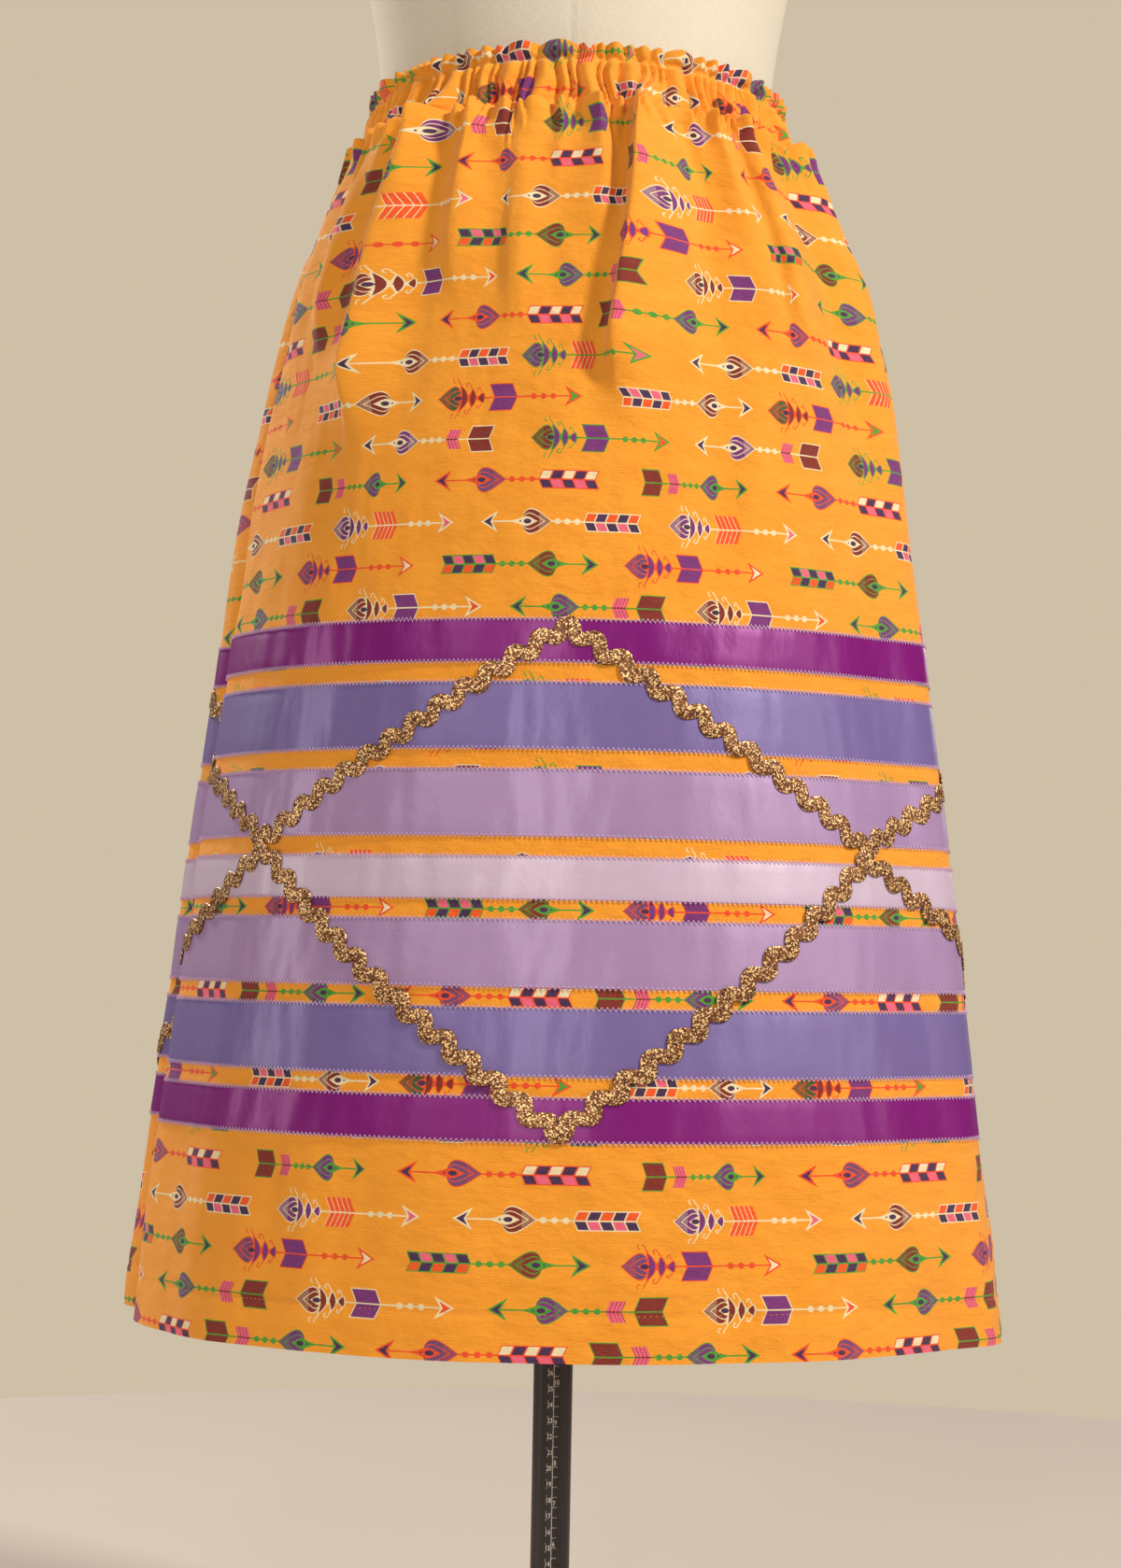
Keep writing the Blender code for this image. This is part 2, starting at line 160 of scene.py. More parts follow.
# The tapes zigzag between points, where the diamonds are tallest, and the places where they meet.
TAPE_TURNS = (-180.0, -118.0, -50.6, 0.0, 47.0, 118.0, 180.0)
TAPE_TOP, TAPE_LOW = 0.7230, 0.4250
UPPER_MEET, LOWER_MEET = 0.5958, 0.5905
TAPE_WAVE, TAPE_SWING, TAPE_BREADTH, TAPE_THICK = 0.0180, 0.0034, 0.0087, 0.0009
TAPE_GIRTH, WAVE_STEPS = 1.385, 16
# The tape's section as shares of its breadth and thickness: flat below, crowned above.
TAPE_SECTION = ((-0.5, 0.3), (-0.475, 0.85), (-0.42, 1.0), (0.42, 1.0), (0.475, 0.85), (0.5, 0.3),
                (0.45, 0.0), (-0.45, 0.0))

# --- Stitches ---
ZIGZAG_PITCH, ZIGZAG_HALF, ZIGZAG_RADIUS = 0.0030, 0.0012, 0.00034
# Straight stitches: height and pitch of each seam, the thread's radius and how far it arches.
RUN_SEAMS, RUN_RADIUS = ((HEM_STITCH, 0.0030), (SEW_LOW, 0.0028), (SEW_HIGH, 0.0028)), 0.00022
RUN_PLACES, RUN_ARCH = np.array([0.12, 0.5, 0.88]), np.array([-0.0002, 0.0001, -0.0002])

# --- The cloth's relief, in metres ---
PUCKER_GAIN = 1.25
# How far the puffs stand out of the creases, and how deep the creases lie.
CASING_OUT, CASING_IN, CASING_CROWN = 0.0054, 0.0028, 0.0012
HEADER_OUT, HEADER_IN = 0.0048, 0.0014
BELOW_OUT, BELOW_IN = 0.0062, 0.0016
SEAM_DEPTH, SEAM_HALF, HEM_DEPTH, HEM_HALF = 0.0020, 0.0014, 0.0005, 0.0016
# How far the cloth over the casing's lower seam laps up over it, at most.
LAP_CREST, LAP_CASING, LAP_MOST, LAP_REACH = 0.8, 0.0032, 0.0056, 0.007
# Soft unevenness: depth, scale round the skirt, scale up it, seed.
SWELLS = ((0.0034, 3.4, 5.0, 3.0), (0.0016, 8.0, 15.0, 9.0))
FINE_SWELL = (0.0005, 22.0, 30.0, 21.0)
# The panels: walls, the header's frill and its notch in front, and the side seams.
PANEL_COLUMNS, FRILL_RISE, NOTCH_ANGLE, NOTCH_HALF, NOTCH_DEPTH = 400, 0.0016, 2.9, 0.9, 0.0050
CLOTH_WALL, HEM_WALL, CASING_WALL, HEADER_WALL = 0.0007, 0.0016, 0.0042, 0.0018
SIDE_SEAM_HALF, SIDE_SEAM_SINK, EDGE_GAP = 0.35, 0.0007, 0.00012

# --- The form and stand, as in the CAD part ---
FORM_RINGS = (
    # z, half, front, back, in millimetres
    (800, 140, 99, 106),
    (806, 148, 106, 113),
    (870, 154, 109, 120),
    (950, 143, 107, 115),
    (1015, 128, 105, 107),
    (1070, 125, 108, 106),
    (1130, 131, 110, 103),
    (1220, 150, 126, 108),
    (1290, 156, 115, 109),
    (1355, 162, 95, 101),
    (1393, 158, 79, 87),
    (1425, 118, 67, 75),
    (1445, 74, 59, 67),
    (1475, 57, 54, 58),
    (1504, 54, 52, 54),
)

# --- The print ---
# The cotton's flat length round the hem for each degree, and the share of it left at the waist.
HEM_GIRTH, WAIST_SHARE = 1.505, 0.83
PRINT_REPEAT, ROW_PITCH, PRINT_SCALE = 235.0, 26.6, 1.04

# --- The camera ---
CAMERA_PLACE, CAMERA_PITCH, CAMERA_ROLL = (-0.00221, -1.80, 0.53), 3.4778, 1.05
CAMERA_LENS, CAMERA_SENSOR = 63.68, 36.0


def ease(x):
    x = np.clip(x, 0.0, 1.0)
    return x * x * (3.0 - 2.0 * x)


def srgb(*levels):
    """A screen colour of three 0 to 255 levels as linear light."""
    parts = [level / 255.0 for level in levels]
    return tuple(p / 12.92 if p <= 0.04045 else ((p + 0.055) / 1.055) ** 2.4 for p in parts)


# --- The skirt's surface ---
def smoothed_levels():
    """The levels on a fine scale of heights, rounded over 15 mm, and less near the casing."""
    rows = np.array(LEVELS) / 1000.0
    heights = np.arange(0.20, 1.16, 0.001)
    plain = [np.interp(heights, rows[:, 0], rows[:, i]) for i in range(1, 5)]

    def rounded(values, reach):
        kernel = np.ones(2 * reach + 1) / (2 * reach + 1)
        padded = np.pad(values, reach, mode="edge")
        return np.convolve(padded, kernel, mode="valid")

    near_casing = ease((heights - 0.995) / 0.03)
    near_hem = ease((0.335 - heights) / 0.03)
    keep = np.maximum(near_casing, near_hem)
    soft = [rounded(v, 15) * (1 - keep) + rounded(v, 3) * keep for v in plain]
    return heights, soft


LEVEL_HEIGHTS, LEVEL_SIZES = smoothed_levels()


def gather_cells(seed, mean_width, wide_share):
    """A row of cloth puffs round the waist as a table over whole turns: 0 in the creases between
    two puffs, and up to about 1 on the widest ones."""
    dice = np.random.default_rng(seed)
    widths = []
    while sum(widths) < 360.0:
        wide = dice.random() < wide_share
        widths.append(mean_width * (dice.uniform(1.8, 2.6) if wide else dice.uniform(0.55, 1.4)))
    edges = np.concatenate(([0.0], np.cumsum(widths))) * 360.0 / sum(widths)
    angles = np.arange(0.0, 360.0, 0.05)
    cell = np.searchsorted(edges, angles, side="right") - 1
    inside = (angles - edges[cell]) / (edges[cell + 1] - edges[cell])
    size = np.array(widths)[cell] / mean_width
    puff = (1.0 - np.abs(2.0 * inside - 1.0) ** 1.8) * (0.40 + 0.60 * np.minimum(size, 1.5))
    reach = dice.uniform(0.10, 1.0, len(widths))[cell] ** 2
    return puff, reach


CASING_PUFF, PUFF_REACH = gather_cells(11, 2.7, 0.14)
HEADER_PUFF, _ = gather_cells(23, 4.3, 0.10)


def round_table(table, angle):
    place = (np.asarray(angle) % 360.0) / 0.05
    low = np.floor(place).astype(int) % len(table)
    share = place - np.floor(place)
    return table[low] * (1 - share) + table[(low + 1) % len(table)] * share


def hidden_puckers():
    dice = np.random.default_rng(5)
    rows = []
    for i in range(HIDDEN_PUCKERS):
        angle = 62.0 + 236.0 * (i + dice.uniform(0.15, 0.85)) / HIDDEN_PUCKERS
        long = dice.random() < 0.4
        length = dice.uniform(0.08, 0.13) if long else dice.uniform(0.03, 0.07)
        depth = dice.uniform(0.0048, 0.0066) if long else dice.uniform(0.0032, 0.0048)
        drift, width = dice.uniform(-2.0, 2.0), dice.uniform(1.0, 1.5)
        rows.append((angle, drift, width, width * dice.uniform(2.4, 3.2), depth, length))
    return rows


ALL_PUCKERS = (*PUCKERS, *hidden_puckers())


def away_from(angle, middle):
    return (angle - middle + 180.0) % 360.0 - 180.0


def fold_at(angle, z, angle_top, angle_low, half_width, depth, z_low, fade=0.06, lean=0.0,
            z_top=1.036):
    """How far one fold stands out, and how far its crest leans, in degrees."""
    along = ease((z - z_low) / fade) * ease((z_top + fade / 2 - z) / (fade / 2))
    middle = angle_low + (angle_top - angle_low) * (z - z_low) / (z_top - z_low)
    profile = along * np.exp(-FOLD_SHARPNESS * (away_from(angle, middle) / half_width) ** 2)
    return depth * profile, lean * profile


def pucker_at(angle, z, start, drift, width_top, width_low, depth, length):
    down = np.clip((SEW_LOW - z) / length, 0.0, 1.0)
    width = width_top + (width_low - width_top) * np.sqrt(down)
    middle = start + drift * down
    rise = ease((SEW_LOW - z) / 0.003) * (1.0 - down) ** 1.2
    return depth * rise * np.exp(-(np.abs(away_from(angle, middle) / width) ** 1.6))


def soft_noise(angle, z, round_scale, high_scale, seed):
    turn = np.radians(angle)
    x, y = np.sin(turn) * round_scale, np.cos(turn) * round_scale
    flat = np.stack([x.ravel(), y.ravel(), (z * high_scale + seed).ravel()], 1)
    return np.array([noise.noise(Vector(p)) for p in flat]).reshape(np.shape(angle))


def gathers(angle, z, crest):
    """The casing, its header and the cloth just under them: how far they stand out, and how far
    the cloth under the lower seam laps up."""
    wander = 0.5 * np.sin(z * 190.0 + angle * 0.21) + 0.3 * np.sin(z * 87.0 - angle * 0.37)
    casing, header = (round_table(puff, angle + wander) for puff in (CASING_PUFF, HEADER_PUFF))
    reach = round_table(PUFF_REACH, angle)
    in_casing = ease((z - SEW_LOW) / 0.004) * ease((SEW_HIGH - z) / 0.004)
    below = ease((SEW_LOW - z) / 0.002)
    fading = np.clip(1.0 - (SEW_LOW - z) / (0.008 + 0.040 * reach), 0.0, 1.0)
    across = np.clip((z - SEW_LOW) / (SEW_HIGH - SEW_LOW), 0.0, 1.0)
    out = in_casing * (CASING_OUT * casing - CASING_IN + CASING_CROWN * np.sin(pi * across))
    out += ease((z - SEW_HIGH) / 0.004) * (HEADER_OUT * header - HEADER_IN)
    out += below * fading * (BELOW_OUT * casing - BELOW_IN)
    for seam in (SEW_LOW, SEW_HIGH):
        out += np.exp(-(((z - seam) / SEAM_HALF) ** 2)) * SEAM_DEPTH * (casing - 1.0)
    near_seam = below * np.exp(-(((SEW_LOW - z) / LAP_REACH) ** 2))
    return out, near_seam * np.minimum(LAP_CREST * crest + LAP_CASING * casing, LAP_MOST)


def swells(angle, z):
    """Soft unevenness of the free cloth, less of it where the ribbons stiffen the skirt."""
    slack = ease((1.03 - z) / 0.05)
    stiff = ease((z - 0.40) / 0.02) * ease((0.745 - z) / 0.02)
    parts = [(slack * (1.0 - 0.6 * stiff), swell) for swell in SWELLS] + [(slack, FINE_SWELL)]
    return sum(share * depth * soft_noise(angle, z, *scales) for share, (depth, *scales) in parts)


def relief(angle, z):
    """How far the cloth stands out from the plain form, is pushed sideways, and is pushed up."""
    out, side, crest = np.zeros_like(angle), np.zeros_like(angle), np.zeros_like(angle)
    for fold in FOLDS:
        stands, leans = fold_at(angle, z, *fold)
        out += stands
        side += leans
    for pucker in ALL_PUCKERS:
        crest += pucker_at(angle, z, *pucker)
    gathered, lift = gathers(angle, z, crest)
    hem_seam = HEM_DEPTH * np.exp(-(((z - HEM_STITCH) / HEM_HALF) ** 2))
    return out + PUCKER_GAIN * crest + gathered - hem_seam + swells(angle, z), side, lift


def place_on(angle, z, out):
    """Points of the plain form moved out by a distance, as an array with a last axis of 3."""
    left, right, front, back = (np.interp(z, LEVEL_HEIGHTS, size) for size in LEVEL_SIZES)
    turn = np.radians(angle)
    s, c = np.sin(turn), np.cos(turn)
    side_share, deep_share = ease(0.5 + s * 2.0), ease(0.5 + c * 2.0)
    half = left + (right - left) * side_share
    deep = back + (front - back) * deep_share
    normal = np.stack([s / half, -c / deep], -1)
    normal /= np.linalg.norm(normal, axis=-1, keepdims=True)
    rise = FRONT_RISE * np.maximum(c, 0.0) * ease((z - RISE_FROM) / (RISE_TO - RISE_FROM))
    x = half * s + normal[..., 0] * out
    y = -deep * c + normal[..., 1] * out
    return np.stack([x, y, z + rise], -1)


def surface(angle, z, out=0.0):
    """Points on the cloth's outer face, moved out by a distance."""
    angle, z = np.broadcast_arrays(np.asarray(angle, float), np.asarray(z, float))
    stands, side, lift = relief(angle, z)
    placed = place_on(angle + side, z, stands + out)
    placed[..., 2] += lift
    return placed


# --- Meshes ---
def mesh_object(name, points, faces, finish, uvs=None, smooth_angle=60.0):
    mesh = bpy.data.meshes.new(name)
    mesh.from_pydata([tuple(p) for p in np.asarray(points).reshape(-1, 3)], [], faces)
    if uvs is not None:
        layer = mesh.uv_layers.new(name="Cloth")
        corners = np.array([loop.vertex_index for loop in mesh.loops])
        layer.data.foreach_set("uv", np.asarray(uvs, float)[corners].ravel())
    mesh.materials.append(finish)
    mesh.shade_smooth()
    mesh.set_sharp_from_angle(angle=radians(smooth_angle))
    made = bpy.data.objects.new(name, mesh)
    bpy.context.scene.collection.objects.link(made)
    return made


def grid_faces(rows, columns, closed, start=0, flip=False):
    faces = []
    for row in range(rows - 1):
        for i in range(columns if closed else columns - 1):
            j = (i + 1) % columns
            a, b = start + row * columns, start + (row + 1) * columns
            face = (a + i, a + j, b + j, b + i)
            faces.append(face[::-1] if flip else face)
    return faces


def wall_object(name, outer, inner, u, v, finish, smooth_angle):
    """A closed wall between two grids of points, rows from the bottom up, with u and v on it."""
    rows, columns = outer.shape[:2]
    count = rows * columns
    faces = grid_faces(rows, columns, False) + grid_faces(rows, columns, False, count, True)

    def rim(starts, step, turned):
        for a in starts:
            face = (a, a + step, count + a + step, count + a)
            faces.append(face[::-1] if turned else face)

    rim(range(columns - 1), 1, True)
    rim(range(count - columns, count - 1), 1, False)
    rim(range(0, count - columns, columns), columns, False)
    rim(range(columns - 1, count - columns, columns), columns, True)
    points = np.concatenate([outer.reshape(-1, 3), inner.reshape(-1, 3)])
    uv = np.stack([u, v], -1).reshape(-1, 2)
    return mesh_object(name, points, faces, finish, np.concatenate([uv, uv]), smooth_angle)


def panel_heights():
    """Rows of the cotton panels, close together in the casing and wider towards the hem."""
    bands = ((HEM, 0.3200, 4), (0.3200, 0.3260, 4), (0.3260, 0.7500, 30), (0.7500, 0.9000, 14),
             (0.9000, 1.0000, 16), (1.0000, 1.0300, 10), (1.0300, 1.0460, 20), (1.0460, 1.0680, 8),
             (1.0680, 1.0740, 6), (1.0740, TOP, 4))
    rows = [np.linspace(low, high, count, endpoint=False) for low, high, count in bands]
    return np.concatenate([*rows, [TOP]])


def wall_thickness(z):
    return np.interp(
        z,
        (HEM_STITCH, HEM_STITCH + 0.003, 1.036, 1.044, 1.069, 1.074),
        (HEM_WALL, CLOTH_WALL, CLOTH_WALL, CASING_WALL, CASING_WALL, HEADER_WALL),
    )


def waist_share(z):
    """How much narrower the flat panel is at a height than at the hem."""
    return 1.0 + (WAIST_SHARE - 1.0) * (z - HEM) / (TOP - HEM)


def cloth_down(z):
    """Metres down the cloth from the casing's top, along the centre front's slope."""
    heights = np.linspace(0.25, 1.12, 400)
    front = np.interp(heights, LEVEL_HEIGHTS, LEVEL_SIZES[2])
    rise = FRONT_RISE * ease((heights - RISE_FROM) / (RISE_TO - RISE_FROM))
    steps = np.hypot(np.diff(front), np.diff(heights + rise))
    along = np.concatenate(([0.0], np.cumsum(steps)))
    return np.interp(TOP, heights, along) - np.interp(z, heights, along)


def girth_to(angle):
    """Metres round the hem from the centre front to an angle."""
    angles = np.linspace(-200.0, 380.0, 1161)
    points = place_on(angles, np.full_like(angles, 0.45), np.zeros_like(angles))
    steps = np.linalg.norm(np.diff(points, axis=0), axis=-1)
    along = np.concatenate(([0.0], np.cumsum(steps)))
    turn = np.interp(360.0, angles, along) - np.interp(0.0, angles, along)
    return (np.interp(angle, angles, along) - np.interp(0.0, angles, along)) * HEM_GIRTH / turn


def cotton_panel(name, first, last, shift, finish):
    """One gathered cotton panel as a closed thin wall. shift moves its print sideways."""
    columns = np.linspace(first, last, PANEL_COLUMNS + 1)
    angle, z = np.broadcast_arrays(columns, panel_heights()[:, None])
    frill = FRILL_RISE * (round_table(HEADER_PUFF, angle) - 0.6)
    notch = NOTCH_DEPTH * np.exp(-((away_from(angle, NOTCH_ANGLE) / NOTCH_HALF) ** 2))
    seam = np.exp(-((np.minimum(angle - first, last - angle) / SIDE_SEAM_HALF) ** 2))
    stands, side, lift = relief(angle, z)
    stands -= SIDE_SEAM_SINK * seam
    lift += ease((z - SEW_HIGH) / (TOP - SEW_HIGH)) * (frill - notch)
    outer = place_on(angle + side, z, stands)
    inner = place_on(angle + side, z, stands - wall_thickness(z))
    for grid in (outer, inner):
        grid[..., 2] += lift
        for end, inside in ((0, 1), (-1, -2)):  # draws the panels' edges apart, so they don't touch
            step = grid[:, inside] - grid[:, end]
            grid[:, end] += step * (EDGE_GAP / np.linalg.norm(step, axis=-1, keepdims=True))
    u = girth_to(angle) * waist_share(z) + shift
    made = wall_object(name, outer, inner, u, -cloth_down(z), finish, 80.0)
    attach(made, "form")
    return made


def ribbon_band(name, low, high, finish):
    """A ribbon on the cloth as a closed thin wall, with u round the skirt and v up the ribbon."""
    angle, z = np.broadcast_arrays(RIBBON_ANGLES, np.linspace(low, high, RIBBON_ROWS)[:, None])
    stands, side, _ = relief(angle, z)
    edge = np.minimum(z - low, high - z)
    crown = RIBBON_THICK * np.sqrt(np.clip(edge / RIBBON_ROUND, 0.05, 1.0))
    outer = place_on(angle + side, z, stands + RIBBON_OFF + crown)
    inner = place_on(angle + side, z, stands + RIBBON_OFF)
    return wall_object(name, outer, inner, girth_to(angle), z - low, finish, 50.0)


# --- Shader arithmetic ---
def feed(tree, term, slot):
    """Links a term or a socket to a socket, or sets a plain number or colour on it."""
    value = term.value if isinstance(term, Term) else term
    if isinstance(value, tuple):
        slot.default_value = (*value, 1.0)
    elif isinstance(value, (int, float)):
        slot.default_value = value
    else:
        tree.links.new(value, slot)


def math_node(operation):
    """A method of Term that adds a Math node."""

    def method(self, *others):
        made = self.tree.nodes.new("ShaderNodeMath")
        made.operation = operation
        for slot, term in zip(made.inputs, (self, *others), strict=False):
            feed(self.tree, term, slot)
        return Term(self.tree, made.outputs[0])

    return method


class Term:
    """A socket in a shader, mostly a number. Arithmetic on it adds Math nodes."""

    def __init__(self, tree, value):
        self.tree, self.value = tree, value

    __add__ = __radd__ = math_node("ADD")
    __mul__ = __rmul__ = math_node("MULTIPLY")
    __sub__, __truediv__ = math_node("SUBTRACT"), math_node("DIVIDE")
    __lt__, __gt__ = math_node("LESS_THAN"), math_node("GREATER_THAN")
    __abs__, floor, root = math_node("ABSOLUTE"), math_node("FLOOR"), math_node("SQRT")
    wrap, power, sine = math_node("FLOORED_MODULO"), math_node("POWER"), math_node("SINE")
    least, most = math_node("MINIMUM"), math_node("MAXIMUM")

    def __rsub__(self, other):
        return Term(self.tree, float(other)) - self

    def between(self, low, high):
        return (self > low) * (self < high)

    def clamped(self):
        return self.most(0.0).least(1.0)


def far_from(x, y, x0, y0, stretch=1.0):
    """The distance of (x, y) from a point, with x stretched by a factor."""
    dx, dy = (x - x0) * stretch, y - y0
    return (dx * dx + dy * dy).root()


def new_material(name, roughness, **settings):
    made = bpy.data.materials.new(name)
    made.use_nodes = True
    shader = made.node_tree.nodes["Principled BSDF"]
    shader.inputs["Roughness"].default_value = roughness
    for key, value in settings.items():
        shader.inputs[key.replace("_", " ")].default_value = value
    return made, made.node_tree, shader


def look_up(factor, colours):
    """A table of colours by position from 0 to 1, with no blending between them."""
    ramp = factor.tree.nodes.new("ShaderNodeValToRGB")
    ramp.color_ramp.interpolation = "CONSTANT"
    stops = ramp.color_ramp.elements
    while len(stops) < len(colours):
        stops.new(1.0)
    for i, colour in enumerate(colours):
        stops[i].position = i / len(colours)
        stops[i].color = (*colour, 1.0)
    feed(factor.tree, factor, ramp.inputs["Fac"])
    return ramp


def parts_of(tree, coloured):
    """The three numbers in a node's colour."""
    split = tree.nodes.new("ShaderNodeSeparateColor")
    tree.links.new(coloured.outputs["Color"], split.inputs[0])
    return [Term(tree, out) for out in split.outputs]


def mixed(mask, below, above):
    """One colour over another where mask is 1. Each is a socket or three numbers."""
    made = mask.tree.nodes.new("ShaderNodeMix")
    made.data_type = "RGBA"
    made.clamp_factor = True
    feed(mask.tree, mask, made.inputs["Factor"])
    for name, colour in (("A", below), ("B", above)):
        slot = next(s for s in made.inputs if s.name == name and s.type == "RGBA")
        feed(mask.tree, colour, slot)
    return next(s for s in made.outputs if s.type == "RGBA")


def painted(shader, mask, below, above):
    """Gives a shader its colour: one colour over another where mask is 1."""
    mask.tree.links.new(mixed(mask, below, above), shader.inputs["Base Color"])


def cloth_place(tree):
    """The cloth's own coordinates in millimetres: along the width, and up the length."""
    uv = tree.nodes.new("ShaderNodeUVMap")
    uv.uv_map = "Cloth"
    split = tree.nodes.new("ShaderNodeSeparateXYZ")
    tree.links.new(uv.outputs["UV"], split.inputs[0])
    return Term(tree, split.outputs["X"]) * 1000.0, Term(tree, split.outputs["Y"]) * 1000.0


def object_place(tree):
    return Term(tree, tree.nodes.new("ShaderNodeTexCoord").outputs["Object"])


def noise_term(place, scale, detail):
    made = place.tree.nodes.new("ShaderNodeTexNoise")
    made.inputs["Scale"].default_value = scale
    made.inputs["Detail"].default_value = detail
    feed(place.tree, place, made.inputs["Vector"])
    return Term(place.tree, made.outputs["Fac"])


def cloth_noise(u, v, across, up, scale=1.0, detail=2.0):
    """Noise on the cloth, finer by one factor along its width and by another up its length."""
    made = u.tree.nodes.new("ShaderNodeCombineXYZ")
    feed(u.tree, u * across, made.inputs["X"])
    feed(u.tree, v * up, made.inputs["Y"])
    return noise_term(Term(u.tree, made.outputs[0]), scale, detail)


def bumped(shader, height, strength, distance):
    tree = height.tree
    made = tree.nodes.new("ShaderNodeBump")
    made.inputs["Strength"].default_value = strength
    made.inputs["Distance"].default_value = distance
    tree.links.new(height.value, made.inputs["Height"])
    tree.links.new(made.outputs["Normal"], shader.inputs["Normal"])


# --- The print of small arrows ---
ORANGE = srgb(243, 156, 40)
ORANGE_DEEP, ORANGE_LIGHT = srgb(230, 138, 28), srgb(246, 164, 50)
CREAM, RED, GREEN = srgb(234, 216, 172), srgb(232, 72, 34), srgb(66, 152, 50)
PURPLE, MAROON, NAVY = srgb(112, 40, 116), srgb(122, 34, 34), srgb(54, 32, 78)
PINK, SLATE, FLAME = srgb(232, 96, 126), srgb(104, 66, 110), srgb(238, 84, 30)
DARK_GREEN = srgb(52, 84, 48)

# Kinds of arrow: a checkered tail, a tail of two blocks, and a tail of plumes.
CHECK, BLOCKS, PLUMES = 0.0, 0.5, 1.0
KIND_LENGTH = {CHECK: 105.0, BLOCKS: 105.0, PLUMES: 96.0}
LEFT, RIGHT = 0.0, 1.0
# Where a tail block starts and ends along the arrow, and its half height.
TAIL_BLOCK = {CHECK: (2.5, 38.0, 6.0), BLOCKS: (3.6, 21.0, 8.6), PLUMES: (38.4, 54.2, 8.9)}

# Colours of the head, the leaf, the tail and the tail's second blocks.
CHECK_INKS, SLATE_INKS = (NAVY, MAROON, FLAME, PINK), (NAVY, SLATE, CREAM, PINK)
BLOCK_INKS = (NAVY, PURPLE, MAROON, PINK)


Arrow = namedtuple("Arrow", "start length kind way outline inks striped", defaults=(0.0,))

# Two arrows for each row of the print, from the casing's top down. start and length are along
# the row, in millimetres.
ROWS = (
    (Arrow(56, 97, PLUMES, RIGHT, GREEN, (PINK, PURPLE, FLAME, PURPLE), 1.0),
     Arrow(175, 108, CHECK, LEFT, CREAM, CHECK_INKS)),
    (Arrow(-3, 103, PLUMES, RIGHT, RED, (GREEN, DARK_GREEN, PURPLE, MAROON)),
     Arrow(129, 92, CHECK, RIGHT, CREAM, CHECK_INKS)),
    (Arrow(65, 95, PLUMES, RIGHT, GREEN, (FLAME, MAROON, PURPLE, PURPLE)),
     Arrow(178, 97, BLOCKS, LEFT, CREAM, BLOCK_INKS)),
    (Arrow(0, 112, CHECK, LEFT, RED, SLATE_INKS),
     Arrow(140, 75, BLOCKS, RIGHT, GREEN, BLOCK_INKS)),
    (Arrow(34, 106, CHECK, LEFT, CREAM, CHECK_INKS),
     Arrow(158, 92, PLUMES, RIGHT, CREAM, (PINK, PURPLE, FLAME, PURPLE), 1.0)),
    (Arrow(8, 104, CHECK, RIGHT, GREEN, CHECK_INKS),
     Arrow(128, 96, PLUMES, RIGHT, RED, (CREAM, SLATE, PURPLE, PURPLE))),
    (Arrow(55, 101, BLOCKS, LEFT, GREEN, BLOCK_INKS),
     Arrow(175, 97, PLUMES, RIGHT, CREAM, (RED, MAROON, PURPLE, MAROON))),
    (Arrow(111, 98, BLOCKS, RIGHT, GREEN, BLOCK_INKS),
     Arrow(227, 108, CHECK, LEFT, RED, SLATE_INKS)),
)
ARROWS = [one for pair in ROWS for one in pair]
LONGEST, BLOCK_UNIT, SLOT_MARGIN = 300.0, 100.0, 6.0

# Measures of an arrow in millimetres, along it from its tail and away from its axis.
HEAD_LENGTH, HEAD_HALF, HEAD_NOTCH, HEAD_RIM = 11.5, 6.9, 7.6, 1.05
SHAFT_HALF, SLANT = 0.48, 0.42
DOT_PITCH, DOT_RADIUS = 6.3, 1.9
LEAF_LENGTH, LEAF_HALF, LEAF_RIM, NECK_START, NECK_LENGTH = 20.0, 8.2, 0.75, 18.6, 15.0
PLUME_START, PLUME_PITCH, PLUME_HALF, PLUME_TAPER, PLUME_HOLLOW = 15.4, 5.6, 7.6, 2.35, 3.3
SPINE_START, SPINE_END, SPINE_PITCH = 13.6, 37.0, 5.9
# Each curl: where it leaves the plumes, where it ends, as (along, away), and its ring's radius.
CURLS = (((16.2, 7.9), (13.2, 12.0), 1.7), ((23.6, 5.6), (21.4, 8.8), 1.25),
         ((30.2, 3.4), (28.6, 5.8), 0.9))
CELL, INK_LINE, SMALL_BLOCK = 7.1, 0.42, (28.0, 37.0, 6.3)


def head_masks(w, h):
    """The head: a barbed triangle. h is the distance from its tip."""
    flank = (h * (HEAD_HALF / HEAD_LENGTH) - w) * 0.86
    barb = (w * ((HEAD_LENGTH - HEAD_NOTCH) / HEAD_HALF) + HEAD_NOTCH - h) * 0.87
    inside = flank.least(barb)
    return inside > 0.0, inside > HEAD_RIM


def shaft_masks(a, w, h, plumes):
    """The shaft, with three dots on it."""
    shaft = (w < SHAFT_HALF) * (a > 38.0 - plumes * 7.0) * (h > HEAD_NOTCH - 0.5)
    from_dots = a - 38.8 - plumes * 22.8
    dot = far_from(from_dots.wrap(DOT_PITCH), w, DOT_PITCH / 2, 0.0) < DOT_RADIUS
    return shaft.most(dot * from_dots.between(0.0, 3 * DOT_PITCH))


